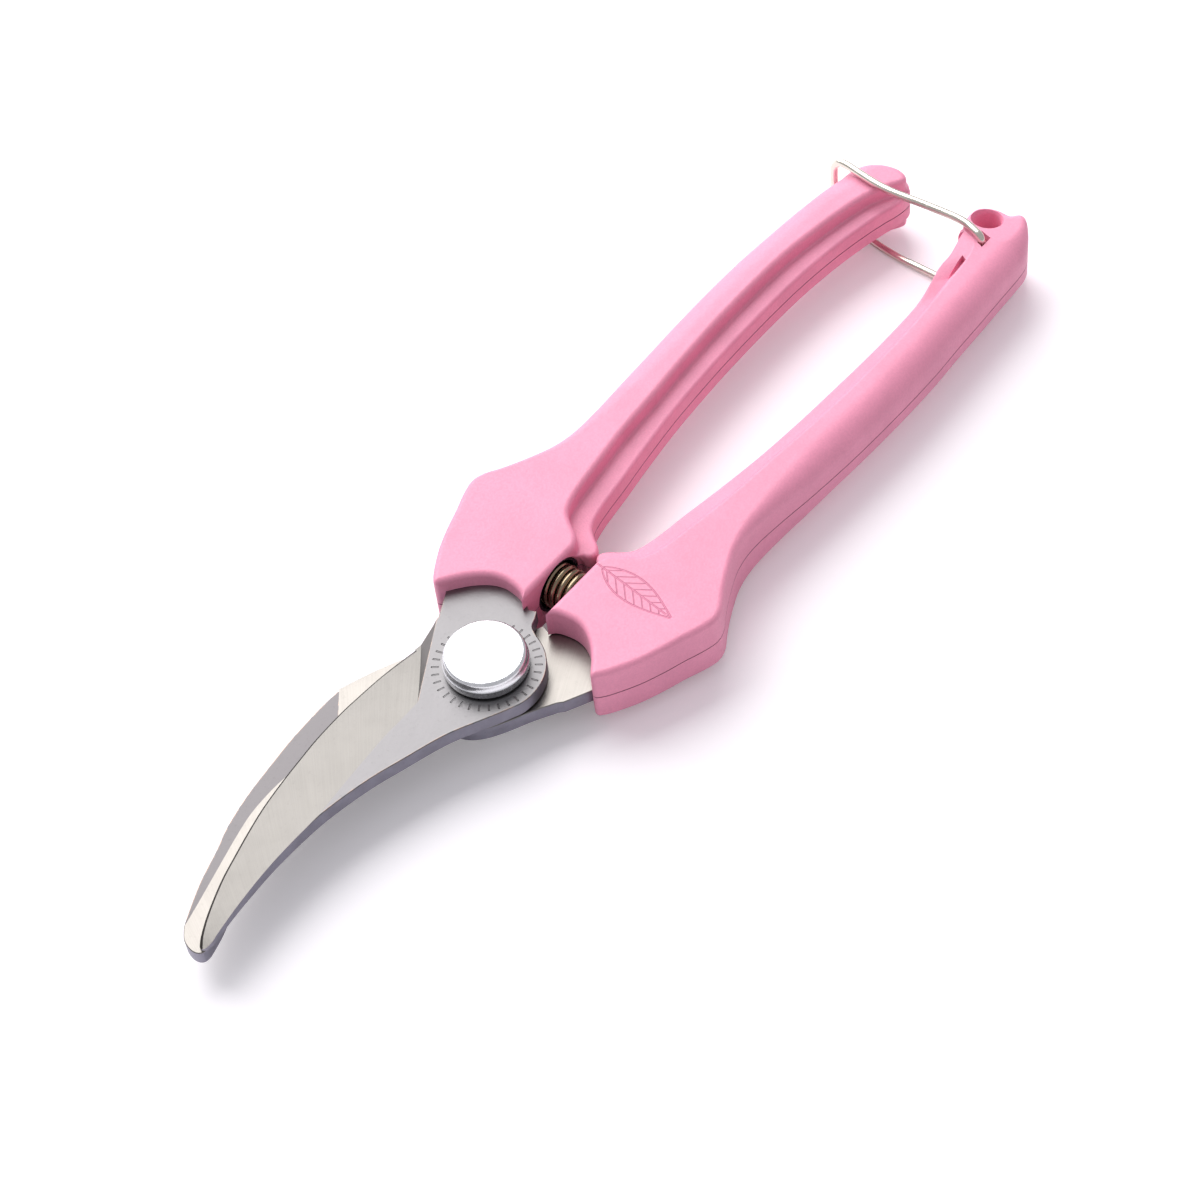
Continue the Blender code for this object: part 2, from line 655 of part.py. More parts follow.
def make_spring(parent, finish):
    """A compression spring along X, from one seat's floor to the other's."""
    reach = HEAD_GAP / 2 + SEAT_RECESS + SEAT_DEPTH - SEAT_FLOOR - RUNNING_GAP - SPRING_WIRE / 2
    steps = SPRING_TURNS * SPRING_STEPS
    points = []
    for i in range(steps + 1):
        angle = 2 * math.pi * i / SPRING_STEPS
        x = -reach + 2 * reach * i / steps
        points.append((x, SPRING_Y + SPRING_RADIUS * math.cos(angle), MID_Z + SPRING_RADIUS * math.sin(angle)))
    part(wire("return_spring", points, SPRING_WIRE, 2), parent, finish)


def make_pins(word, side, parent, finish):
    for number, spot in ((1, NEAR_PIN), (2, FAR_PIN)):
        centre = Vector((side * spot.x, spot.y))
        low, high = MID_Z - PIN_LENGTH / 2, MID_Z + PIN_LENGTH / 2
        part(rod(f"{word}_tang_pin_{number}", centre, PIN_RADIUS, low, high), parent, finish)


# ---------------------------------------------------------------- wire catch


def catch_route():
    """The middle line of the wire: from its hole in the upper shell round to its hole in the lower one."""
    leg = LEG_LIFT
    reach = CATCH_REACH_X / MM
    upper = [(10.0, 0.91), (2.0, 0.908), (-8.5, 0.901), (-17.2, 0.912)]
    lower = [(10.4, 0.89), (2.0, 0.886), (-6.5, 0.888), (-17.2, 0.905)]
    hinge = CATCH_HINGE
    route = []
    for side, places in ((1, upper), (-1, lower)):
        inside = LEG_LIFT - CATCH_CLEARANCE - CATCH_WIRE / 2 - CATCH_PIN_DEPTH
        towards = (grip(*places[0]) - hinge).normalized()
        run = [Vector((hinge.x, hinge.y, MID_Z + side * inside))]
        for step in range(6):
            angle = math.radians(90 * step / 5)
            out = hinge + towards * CATCH_BEND * (1 - math.cos(angle))
            rise = leg - CATCH_BEND * (1 - math.sin(angle))
            run.append(Vector((out.x, out.y, MID_Z + side * rise)))
        first = run[-1]
        legs = [first] + [Vector((*grip(*spot), MID_Z + side * leg)) for spot in places]
        run += smooth_line(legs, 18)[1:]
        route.append(run)
    upper_run, lower_run = route
    y = grip(0, 0.914).y
    turn = [
        upper_run[-1],
        Vector(((reach + 1.4) * MM, y, MID_Z + leg - 0.3 * MM)),
        Vector(((reach + 0.3) * MM, y, MID_Z + leg - 1.6 * MM)),
        Vector((reach * MM, y, MID_Z + leg - 3.5 * MM)),
        Vector((reach * MM, y, MID_Z)),
        Vector((reach * MM, y, MID_Z - leg + 3.5 * MM)),
        Vector(((reach + 0.3) * MM, y, MID_Z - leg + 1.6 * MM)),
        Vector(((reach + 1.4) * MM, y, MID_Z - leg + 0.3 * MM)),
        lower_run[-1],
    ]
    return upper_run + smooth_line(turn, 24)[1:-1] + lower_run[::-1]


def make_catch(parent, finish):
    """The wire's own points are given about its hinge, where its parent empty stands."""
    points = [point - Vector((CATCH_HINGE.x, CATCH_HINGE.y, 0)) for point in catch_route()]
    part(wire("wire_catch", points, CATCH_WIRE, 2), parent, finish)


# ---------------------------------------------------------------- the whole tool

for old in list(bpy.data.objects):
    bpy.data.objects.remove(old)

SHEARS = bpy.data.collections.new("pruning_shears")
CUTTERS = bpy.data.collections.new("cutters")
bpy.context.scene.collection.children.link(SHEARS)
bpy.context.scene.collection.children.link(CUTTERS)
CUTTERS.hide_render = True

PINK = material("pink_plastic", (0.86, 0.36, 0.56), 0.5, 0.0)
GREY_STEEL = material("forged_steel", (0.55, 0.56, 0.6), 0.4, 1.0)
GROUND_STEEL = material("counter_steel", (0.62, 0.6, 0.6), 0.38, 1.0)
ZINC = material("zinc_plating", (0.85, 0.86, 0.88), 0.2, 1.0)
SPRING_STEEL = material("spring_steel", (0.4, 0.34, 0.26), 0.3, 1.0)
NICKEL = material("nickel_wire", (0.8, 0.77, 0.7), 0.22, 1.0)
BLACK = material("black_plastic", (0.02, 0.02, 0.025), 0.4, 0.0)
PIN_STEEL = material("pin_steel", (0.5, 0.5, 0.5), 0.4, 1.0)


FRAME = place("shears_frame", None, y=-(TIP_Y + END_Y) / 2, z=-LOWEST_Z)


def main():
    right = place("right_side", FRAME)
    left = place("pivot_axis", FRAME)
    hinge = place("catch_axis", right, CATCH_HINGE.x, CATCH_HINGE.y)

    make_handle("right", 1, right, PINK)
    make_handle("left", -1, left, PINK)
    make_counter_blade(right, GROUND_STEEL)
    make_cutting_blade(left, GREY_STEEL)
    make_pins("right", 1, right, PIN_STEEL)
    make_pins("left", -1, left, PIN_STEEL)
    make_pivot(right, ZINC, ZINC)
    make_seat("right", 1, right, BLACK)
    make_seat("left", -1, left, BLACK)
    make_spring(right, SPRING_STEEL)
    make_catch(hinge, NICKEL)


main()
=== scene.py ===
"""The visible pieces, finishes and studio of the pruning shears, laid out as a Blender add-on.

Every outline is drawn in millimetres about the pivot, with z = 0 on the seam between the two shells
of a handle. DRAWING then takes it to metres in the frame that the packed model uses.
"""

import math

import bmesh
import bpy
from mathutils import Matrix, Vector
from mathutils.geometry import intersect_line_line_2d


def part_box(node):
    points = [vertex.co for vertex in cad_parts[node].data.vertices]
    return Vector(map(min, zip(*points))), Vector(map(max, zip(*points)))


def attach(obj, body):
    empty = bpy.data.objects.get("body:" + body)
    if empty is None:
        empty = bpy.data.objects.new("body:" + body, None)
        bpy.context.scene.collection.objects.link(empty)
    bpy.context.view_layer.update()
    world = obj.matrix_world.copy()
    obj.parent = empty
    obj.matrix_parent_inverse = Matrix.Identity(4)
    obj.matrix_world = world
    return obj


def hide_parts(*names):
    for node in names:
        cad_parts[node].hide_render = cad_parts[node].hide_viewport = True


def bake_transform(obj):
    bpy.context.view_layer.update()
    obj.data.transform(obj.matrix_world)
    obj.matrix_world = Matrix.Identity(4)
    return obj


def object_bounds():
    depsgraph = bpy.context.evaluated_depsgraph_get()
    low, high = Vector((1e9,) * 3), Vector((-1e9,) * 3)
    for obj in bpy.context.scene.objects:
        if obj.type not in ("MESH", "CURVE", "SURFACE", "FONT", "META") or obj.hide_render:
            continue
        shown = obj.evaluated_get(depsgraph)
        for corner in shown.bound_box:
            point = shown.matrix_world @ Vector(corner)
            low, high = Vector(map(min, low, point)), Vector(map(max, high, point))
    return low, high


bl_info = {
    "name": "Pruning Shears",
    "version": (1, 0, 0),
    "blender": (4, 5, 0),
    "location": "3D View > Sidebar > Shears",
    "description": "Builds the handles, blades, pivot, spring and wire catch of a pair of shears",
    "category": "Object",
}

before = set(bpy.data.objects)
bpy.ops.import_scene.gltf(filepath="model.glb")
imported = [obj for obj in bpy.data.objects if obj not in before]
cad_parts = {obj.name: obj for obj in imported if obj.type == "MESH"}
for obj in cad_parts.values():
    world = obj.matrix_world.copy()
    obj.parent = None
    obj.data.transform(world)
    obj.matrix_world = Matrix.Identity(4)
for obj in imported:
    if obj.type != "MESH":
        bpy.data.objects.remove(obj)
CAD_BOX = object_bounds()
MM = 0.001

BOLT_LOW, BOLT_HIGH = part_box("pivot_bolt")
SHELL_LOW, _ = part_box("right_handle_lower_shell")
_, SHELL_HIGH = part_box("right_handle_upper_shell")
CATCH_LOW, CATCH_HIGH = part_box("wire_catch")
PIVOT_X = (BOLT_LOW[0] + BOLT_HIGH[0]) / 2
PIVOT_Y = (BOLT_LOW[1] + BOLT_HIGH[1]) / 2
SEAM_Z = (SHELL_LOW[2] + SHELL_HIGH[2]) / 2
DRAWING = Matrix.Translation((PIVOT_X, PIVOT_Y, SEAM_Z)) @ Matrix.Scale(MM, 4)
HALF = (SHELL_HIGH[2] - SHELL_LOW[2]) / 2 / MM  # a handle's half thickness
LEDGE = 3.0  # height of the web's face above the seam
SEAM = 0.006  # half the gap at the seam
BORE = 3.6  # radius of the pivot's hole in the blades, the washer and the nut
PIN_HOLE = 1.2
SPRING_Y = 21.4
BOSS = 9.7  # radius of a blade's round boss


def drawn_height(z):
    """A height of the packed model as a height in the drawing."""
    return (z - SEAM_Z) / MM


def height_range(node):
    """The lowest and highest points of a packed node, in the drawing."""
    low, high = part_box(node)
    return drawn_height(low[2]), drawn_height(high[2])


def half_width(node):
    low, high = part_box(node)
    return (high[0] - low[0]) / 2 / MM


def head(x, y):
    """A point of a handle's head or of a blade's boss."""
    return Vector((x, y))


def grip(x, share):
    """A point beside the grip, by its share of the way from the head to the handle's end."""
    return Vector((x, 32 + share * 100))


def blade(x, share):
    """A point of a blade, by its share of the way from the heel to the tip."""
    return Vector((x, -12 - share * 54.6))


def heads(*pairs):
    return [head(*pair) for pair in pairs]


def grips(*pairs):
    return [grip(*pair) for pair in pairs]


def blades(*pairs):
    return [blade(*pair) for pair in pairs]


# ---- lines


def smooth_line(points, count):
    """count points, evenly spaced, along a smooth curve through the given points."""
    fine = []
    for i in range(len(points) - 1):
        before = points[max(i - 1, 0)]
        start, end = points[i], points[i + 1]
        after = points[min(i + 2, len(points) - 1)]
        for step in range(24):
            t = step / 24
            fine.append(
                0.5
                * (
                    2 * start
                    + (end - before) * t
                    + (2 * before - 5 * start + 4 * end - after) * t**2
                    + (3 * start - before - 3 * end + after) * t**3
                )
            )
    fine.append(points[-1].copy())
    reached = [0.0]
    for a, b in zip(fine, fine[1:]):
        reached.append(reached[-1] + (b - a).length)
    line, k = [], 0
    for i in range(count):
        goal = reached[-1] * i / (count - 1)
        while k < len(fine) - 2 and reached[k + 1] < goal:
            k += 1
        span = max(reached[k + 1] - reached[k], 1e-9)
        line.append(fine[k].lerp(fine[k + 1], (goal - reached[k]) / span))
    return line


def arc(centre, radius, start_deg, end_deg, count):
    line = []
    for i in range(count):
        angle = math.radians(start_deg + (end_deg - start_deg) * i / (count - 1))
        line.append(centre + radius * Vector((math.cos(angle), math.sin(angle))))
    return line


def inset_loop(loop, depths):
    """The closed loop moved in by its own depth at each point. A negative depth moves it out."""
    area = sum(a.x * b.y - b.x * a.y for a, b in zip(loop, loop[1:] + loop[:1]))
    turn = 1 if area > 0 else -1
    moved = []
    for i, point in enumerate(loop):
        along = (loop[(i + 1) % len(loop)] - loop[i - 1]).normalized()
        moved.append(point + turn * depths[i] * Vector((-along.y, along.x)))
    return moved


def inset_line(line, depth):
    """An open line moved to its left by the depth."""
    ends = [line[0] * 2 - line[1], *line, line[-1] * 2 - line[-2]]
    shifted = []
    for before, point, after in zip(ends, line, ends[2:]):
        along = (after - before).normalized()
        shifted.append(point + depth * Vector((-along.y, along.x)))
    return shifted


def untangled(loop):
    """Where an inset loop crosses itself at a corner, the points beyond gather at the crossing."""
    count = len(loop)
    for i in range(count):
        for gap in range(2, 34):
            j = (i + gap) % count
            ends = loop[i], loop[(i + 1) % count], loop[j], loop[(j + 1) % count]
            meet = intersect_line_line_2d(*ends)
            if meet:
                for k in range(i + 1, i + gap + 1):
                    loop[k % count] = meet.copy()
    return loop


def ease(low, high, value):
    """0 up to low, 1 from high, and a smooth rise between."""
    t = min(max((value - low) / (high - low), 0.0), 1.0)
    return t * t * (3 - 2 * t)


# ---- meshes


def skin(rings):
    """A closed bmesh over rings of points. The first is drawn and each next one extruded."""
    bm = bmesh.new()
    rank = bm.verts.layers.int.new("rank")
    first = []
    for i, point in enumerate(rings[0]):
        vert = bm.verts.new(point)
        vert[rank] = i
        first.append(vert)
    edges = [bm.edges.new((first[i - 1], first[i])) for i in range(len(first))]
    start = edges
    for ring in rings[1:]:
        made = bmesh.ops.extrude_edge_only(bm, edges=edges)["geom"]
        edges = [item for item in made if isinstance(item, bmesh.types.BMEdge)]
        for item in made:
            if isinstance(item, bmesh.types.BMVert):
                item.co = ring[item[rank]]
    bmesh.ops.contextual_create(bm, geom=start)
    bmesh.ops.contextual_create(bm, geom=edges)
    bmesh.ops.remove_doubles(bm, verts=bm.verts, dist=1e-4)
    bmesh.ops.recalc_face_normals(bm, faces=bm.faces)
    return bm


def plate(loop, low, high, chamfer=0.0):
    """A flat plate of the given outline, with its two rims taken off by the chamfer."""
    steps = [(low, 0.0), (high, 0.0)]
    if chamfer:
        steps = [(low, chamfer), (low + chamfer, 0.0), (high - chamfer, 0.0), (high, chamfer)]
    rings = []
    for height, depth in steps:
        ring = untangled(inset_loop(loop, [depth] * len(loop))) if depth else loop
        rings.append([(p.x, p.y, height) for p in ring])
    return skin(rings)


def turned(profile, steps=64):
    """A bmesh spun about Z from (radius, height) points."""
    bm = bmesh.new()
    verts = [bm.verts.new((radius, 0, height)) for radius, height in profile]
    edges = [bm.edges.new(pair) for pair in zip(verts, verts[1:])]
    spin = {"cent": (0, 0, 0), "axis": (0, 0, 1), "angle": 2 * math.pi, "steps": steps}
    bmesh.ops.spin(bm, geom=verts + edges, use_merge=True, **spin)
    bmesh.ops.remove_doubles(bm, verts=bm.verts, dist=1e-4)
    bmesh.ops.recalc_face_normals(bm, faces=bm.faces)
    return bm


def rod(radius, reach, steps=64):
    """A cylinder about Z that reaches as far up as down."""
    return turned([(0, reach), (radius, reach), (radius, -reach), (0, -reach)], steps)


def moved(bm, matrix):
    bmesh.ops.transform(bm, matrix=matrix, verts=bm.verts)
    return bm


def tube(path, radius, sides=14):
    """A round wire along a path of 3-D points, with rounded-off ends."""
    last = len(path) - 1
    along = [(path[min(i + 1, last)] - path[max(i - 1, 0)]).normalized() for i in range(last + 1)]
    across = along[0].orthogonal().normalized()
    rings = []
    for i, point in enumerate(path):
        across = (across - along[i] * across.dot(along[i])).normalized()
        other = along[i].cross(across)
        circle = []
        for k in range(sides):
            angle = 2 * math.pi * k / sides
            circle.append((across * math.cos(angle) + other * math.sin(angle), point))
        sizes = [(0.0, radius)]
        if i == 0:
            sizes = [(-0.3 * radius, 0.7 * radius), (0.0, radius)]
        if i == last:
            sizes = [(0.0, radius), (0.3 * radius, 0.7 * radius)]
        for shift, size in sizes:
            rings.append([centre + spoke * size + along[i] * shift for spoke, centre in circle])
    return skin(rings)


def paint(bm, index):
    """Gives every face of a cutter the material slot that the cut surface will have."""
    for face in bm.faces:
        face.material_index = index
    return bm


def paint_sides(made, index):
    """Gives the upright faces of a plate their own material slot, which the blades fill with a
    blue-grey painted reflection.
    """
    for face in made.data.polygons:
        if abs(face.normal.z) < 0.5:
            face.material_index = index


def pin_holes(side, reach):
    """Cutters for the two tang pins of one side."""
    places = [Matrix.Translation((side * pin.x, pin.y, 0)) for pin in (NEAR_PIN, FAR_PIN)]
    return [moved(rod(PIN_HOLE, reach, 32), place) for place in places]


def plain_object(name, bm):
    mesh = bpy.data.meshes.new(name)
    bm.to_mesh(mesh)
    bm.free()
    made = bpy.data.objects.new(name, mesh)
    bpy.context.scene.collection.objects.link(made)
    return made


def carved(name, bm, cutters, slots=1):
    """The bmesh as an object, after every cutter is taken out of it."""
    made = plain_object(name, bm)
    for _ in range(slots):
        made.data.materials.append(None)
    tools = []
    for number, cutter in enumerate(cutters):
        tool = plain_object(f"{name}_cutter_{number}", cutter)
        for _ in range(slots):
            tool.data.materials.append(None)
        difference = made.modifiers.new("Cut", "BOOLEAN")
        difference.operation = "DIFFERENCE"
        difference.solver = "EXACT"
        difference.object = tool
        tools.append(tool)
    bpy.context.view_layer.update()
    graph = bpy.context.evaluated_depsgraph_get()
    mesh = bpy.data.meshes.new_from_object(made.evaluated_get(graph))
    made.modifiers.clear()
    made.data = mesh
    mesh.name = name
    for tool in tools:
        bpy.data.objects.remove(tool)
    return made


def finished(made, body, materials, nodes, sharp=32):
    """Takes a drawn object to its place, gives it its finish and replaces its CAD nodes."""
    made.data.transform(DRAWING)
    slots = made.data.materials
    while len(slots) < len(materials):
        slots.append(None)
    for index, finish in enumerate(materials):
        slots[index] = finish
    made.data.shade_smooth()
    made.data.set_sharp_from_angle(angle=math.radians(sharp))
    if body:
        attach(made, body)
    if nodes:
        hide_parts(*nodes)
    return made


# ---- handle outlines

# fmt: off
FACE_X = 2.5
CROWN = (5.0, 4.4)  # how far the grip's crown is rounded, across and down
TAB_HOLE = grip(10.1, 0.956)
HINGE = grip(12.8, 0.897)
NEAR_PIN = head(16.2, 29.0)
FAR_PIN = grip(16.3, 0.34)

CORNER = (head(16.61, 7.57), 0.8)
OUTER_SIDE = [
    *heads((17.23, 7.06), (18.2, 8.2), (19.7, 10.6), (21.2, 13.4), (22.8, 17.3), (24.0, 20.8),
    (25.3, 24.2), (26.0, 27.2), (25.4, 29.6)), *grips((23.9, 0.0), (22.5, 0.025), (21.0, 0.056),
    (19.8, 0.086), (19.1, 0.12), (19.0, 0.16), (19.5, 0.22), (20.3, 0.29), (21.1, 0.39),
    (21.5, 0.49), (21.6, 0.57), (21.5, 0.64), (21.1, 0.71), (20.5, 0.79), (19.7, 0.86),
    (18.9, 0.9)),
]
TAB_SIDE = OUTER_SIDE[:-3] + grips((20.8, 0.79), (20.5, 0.85), (20.3, 0.9))
TAB_END = grips(
    (20.3, 0.9), (19.9, 0.93), (18.7, 0.957), (17.0, 0.98), (15.6, 0.992), (14.3, 0.994),
    (13.1, 0.989), (11.4, 0.991), (9.6, 0.99), (7.9, 0.983), (6.8, 0.97), (6.7, 0.95), (7.3, 0.92),
    (8.3, 0.89),
)
PLAIN_END = grips(
    (18.9, 0.9), (18.4, 0.93), (17.2, 0.95), (15.4, 0.963), (13.2, 0.97), (10.6, 0.971),
    (8.2, 0.968), (6.7, 0.956), (6.3, 0.94), (6.6, 0.915), (7.3, 0.89),
)
PLAIN_BODY_END = [*PLAIN_END[:6], *grips((8.6, 0.965), (7.6, 0.957), (7.3, 0.948), (7.7, 0.938))]
LEDGE_SIDE = [
    *grips((7.3, 0.89), (8.4, 0.84), (9.5, 0.77), (10.3, 0.68), (10.5, 0.58), (10.3, 0.47),
    (9.9, 0.39), (9.1, 0.29), (7.8, 0.19), (6.7, 0.12), (5.7, 0.05), (4.6, 0.01)),
    *heads((2.9, 31.2), (1.0, 29.9), (0.15, 28.5), (0.8, 27.2), (1.9, 26.8), (FACE_X, 25.9)),
]
TAB_LEDGE = [
    *grips((8.3, 0.89), (9.5, 0.84), (10.2, 0.79), (10.6, 0.73), (10.8, 0.66), (10.7, 0.57)),
    *LEDGE_SIDE[5:],
]
TAB_STEP = [
    *grips((8.3, 0.89), (9.8, 0.891), (11.3, 0.88), (12.4, 0.85), (13.1, 0.78), (13.9, 0.68),
    (14.1, 0.58), (13.9, 0.48), (13.3, 0.38), (12.4, 0.28), (11.6, 0.18), (10.2, 0.08),
    (9.4, 0.03)), *heads((8.3, 31.6), (6.7, 29.9), (4.6, 28.6), (3.2, 27.4), (FACE_X, 25.9)),
]
PLAIN_STEP = [
    *grips((7.7, 0.938), (8.6, 0.924), (9.9, 0.9), (11.2, 0.86), (12.7, 0.78)), *TAB_STEP[5:],
]
NOTCH = heads(
    (FACE_X, 12.2), (3.4, 13.2), (5.4, 13.8), (7.9, 13.9), (10.2, 13.1), (12.5, 11.4), (14.4, 9.3),
    (15.3, 8.05), (16.0, 7.08),
)
TANG_OUTER = [
    *heads((13.1, 3.2), (14.4, 5.7), (15.6, 8.1), (17.2, 11.6), (19.0, 17.0), (20.1, 23.0),
    (20.0, 28.0)), *grips((18.4, 0.03), (17.4, 0.08), (17.1, 0.14), (17.5, 0.22), (18.1, 0.3),
    (18.7, 0.38)),
]
TANG_TIP = grips((18.7, 0.38), (18.8, 0.42), (17.9, 0.44), (16.0, 0.44), (14.9, 0.43))
TANG_INNER = [
    *grips((14.9, 0.43), (14.5, 0.36), (14.0, 0.28), (13.4, 0.2), (12.9, 0.1), (12.5, 0.03)),
    *heads((12.3, 27.0), (12.2, 20.0), (11.9, 16.4), (10.6, 14.9), (8.0, 14.7), (5.0, 14.5),
    (3.2, 13.6), (1.6, 12.8), (0.5, 13.3)),
]
# fmt: on


def tang_loop():
    """The part of a blade that lies inside its handle, from the neck round the tang and back."""
    outer, tip = smooth_line(TANG_OUTER, 44), smooth_line(TANG_TIP, 12)
    return outer[:-1] + tip[:-1] + smooth_line(TANG_INNER, 50)


def handle_loops(side, rim):
    """The outlines of a handle's web and of its raised body, and each point's edge rounding."""
    tabbed = (TAB_SIDE, TAB_END, TAB_END, TAB_STEP, TAB_LEDGE)
    plain = (OUTER_SIDE, PLAIN_END, PLAIN_BODY_END, PLAIN_STEP, LEDGE_SIDE)
    flank, end, body_end, step, inner = tabbed if side > 0 else plain
    outer = smooth_line(flank, 120)
    around = smooth_line(end, 56)
    face = smooth_line(heads((FACE_X, 25.9), (FACE_X, 12.2)), 14)
    notch = smooth_line(NOTCH, 40)[1:] + arc(*CORNER, 218.8, 320.6, 12)[1:-1]
    ledge = smooth_line(inner, 150)
    web = outer + around[1:] + ledge[1:] + face[1:] + notch
    body = outer + smooth_line(body_end, 56)[1:] + smooth_line(step, 150)[1:] + face[1:] + notch
    rounding = []
    for i, point in enumerate(body):
        share = ease(36, 72, point.y)
        if i >= len(outer) + len(around) - 1:
            share = 0.0
        elif i >= len(outer):
            share = 1 - ease(0.0, 0.9 if side < 0 else 0.34, (i - len(outer)) / len(around))
        base = 1.0 + (rim - 1.0) * ease(14, 17, point.x) * (1 - ease(20, 34, point.y))
        rounding.append((base + (CROWN[0] - base) * share, base + (CROWN[1] - base) * share))
    return web, body, rounding


def shell_rings(side, web, body, rounding, step_radius):
    """Rings from the seam up the web, over the ledge, up the raised body and over its top."""
    ledge_share = [min((w - b).length / 1.6, 1.0) for w, b in zip(web, body)]
    ledge = [LEDGE] * len(web)
    for i, (w, b) in enumerate(zip(web, body)):
        if side > 0 and w != b:
            rise = ease(106.0, 118.0, b.y)
            ledge[i] += (HALF - LEDGE - 0.06) * rise
            ledge_share[i] *= 1 - 0.98 * rise
    rings = []

    def ring(loop, heights, depths):
        rounded = []
        for height, (across, down) in zip(heights, rounding):
            above = min(max(height - (HALF - down), 0) / down, 1)
            rounded.append(across * (1 - math.sqrt(1 - above**2)))
        points = untangled(inset_loop(loop, [a + b for a, b in zip(depths, rounded)]))
        made = []
        for point, height in zip(points, heights):
            if side > 0:
                tab = ease(123, 131.5, point.y) * (1 - ease(11.5, 15.5, point.x))
                height *= 1 - 0.22 * tab
            made.append((side * point.x, point.y, height))
        rings.append(made)

    flat = [0.0] * len(web)
    for height, depth in ((SEAM, 0.24), (SEAM + 0.1, 0.0), (1.2, 0.0), (2.2, 0.0)):
        ring(web, [height] * len(web), [depth] * len(web))
    turns = [math.radians(angle) for angle in (0, 30, 60, 90)]
    radii = [step_radius * share for share in ledge_share]
    for turn in turns:
        heights = [top - r * (1 - math.sin(turn)) for top, r in zip(ledge, radii)]
        ring(web, heights, [r * (1 - math.cos(turn)) for r in radii])
    radii = [0.8 * step_radius * share for share in ledge_share]
    for turn in turns:
        heights = [top + r * (1 - math.cos(turn)) for top, r in zip(ledge, radii)]
        ring(body, heights, [-r * (1 - math.sin(turn)) for r in radii])
    foot = [top + 0.8 * step_radius * share for top, share in zip(ledge, ledge_share)]
    for step in range(13):
        heights = []
        for low, (_, down) in zip(foot, rounding):
            first = math.asin(min(max((low - HALF + down) / down, 0), 1))
            angle = first + (math.pi / 2 - first) * step / 12
            heights.append(HALF - down + down * math.sin(angle))
        ring(body, heights, flat)
    ring(body, [HALF] * len(web), [0.3] * len(web))
    return rings


# ---- blade outlines

# fmt: off
CUTTING_EDGE = [
    *heads((-12.9, 1.7), (-13.2, -2.0), (-13.9, -6.3), (-14.3, -10.3)), *blades((-14.7, 0.08),
    (-14.8, 0.15), (-14.6, 0.25), (-14.1, 0.335), (-13.5, 0.42), (-12.6, 0.518), (-11.5, 0.6),
    (-9.9, 0.7), (-8.4, 0.785), (-6.1, 0.883), (-4.1, 0.95), (-2.9, 0.978)),
]
CUTTING_TIP = blades((-2.9, 0.978), (-2.2, 0.984), (-1.5, 0.974), (-1.3, 0.95))
CUTTING_SPINE = [
    *blades((-1.3, 0.95), (-1.6, 0.918), (-2.4, 0.8), (-2.9, 0.656), (-2.7, 0.5), (-1.9, 0.39),
    (-0.6, 0.28), (0.9, 0.19), (2.9, 0.073)), *heads((4.3, -12.6), (6.1, -9.2), (8.2, -5.2)),
]
BEVEL_LINE = [
    *heads((-4.6, 4.0), (-4.5, -4.0), (-4.4, -12.0)), *blades((-4.3, 0.08), (-4.3, 0.15),
    (-3.9, 0.25), (-3.5, 0.335), (-3.0, 0.42), (-2.5, 0.5), (-1.9, 0.57), (-0.9, 0.67), (0.3, 0.76),
    (2.0, 0.86), (3.4, 0.93), (4.6, 0.97)),
]
BEVEL_EDGE = heads((-12.9, 4.0), (-13.2, -3.0)) + CUTTING_EDGE[3:-1] + [blade(-2.4, 0.99)]
COUNTER_OUTER = [
    *heads((-9.6, 1.2), (-11.2, -0.8), (-13.6, -4.6), (-16.2, -9.8)), blade(-18.7, 0.079),
]
COUNTER_BACK = blades(
    (-18.7, 0.079), (-18.8, 0.16), (-18.4, 0.29), (-17.7, 0.39), (-16.6, 0.52), (-15.1, 0.63),
    (-13.4, 0.708), (-11.5, 0.81), (-9.5, 0.89), (-7.6, 0.955),
)
COUNTER_TIP = blades(
    (-7.6, 0.955), (-6.0, 0.985), (-4.2, 0.998), (-2.8, 0.997), (-2.0, 0.985), (-1.9, 0.965),
)
COUNTER_EDGE = [
    *blades((-1.9, 0.965), (-2.9, 0.9), (-4.9, 0.81), (-6.7, 0.72), (-8.3, 0.62), (-9.6, 0.52),
    (-10.7, 0.41), (-11.4, 0.29), (-11.5, 0.18), (-10.4, 0.07)), *heads((-8.0, -12.6),
    (-4.0, -11.4), (0.0, -11.4), (3.6, -10.4), (6.0, -8.4), (8.0, -5.3), (10.0, -1.4), (12.3, 2.4)),
]
# The counter blade's forged slope: its inner border on the face, and its foot outside the back.
FORGED_LINE = blades(
    (-14.0, 0.17), (-13.7, 0.28), (-13.8, 0.39), (-13.9, 0.47), (-13.5, 0.56), (-12.4, 0.645),
    (-11.3, 0.715), (-10.1, 0.79), (-8.5, 0.89), (-7.7, 0.945),
)
FORGED_FOOT = blades(
    (-19.6, 0.05), (-20.0, 0.25), (-19.0, 0.42), (-17.8, 0.55), (-16.1, 0.67), (-14.3, 0.76),
    (-12.4, 0.84), (-10.4, 0.925), (-8.6, 0.985),
)
# fmt: on


def cutting_outline():
    """Round the cutting blade: edge, tip, spine, boss, then the neck and tang on the -X side."""
    tang = [Vector((-p.x, p.y)) for p in tang_loop()]
    neck = smooth_line(heads((3.3, 9.1), (2.2, 9.6), (0.8, 10.5), (0.2, 12.0)), 9)
    boss = arc(Vector((0, 0)), BOSS, -18, 70, 40)
    steel = [(CUTTING_EDGE, 110), (CUTTING_TIP, 10), (CUTTING_SPINE, 80)]
    sides = [point for line, count in steel for point in smooth_line(line, count)[:-1]]
    return sides + boss + neck[1:] + tang[::-1]


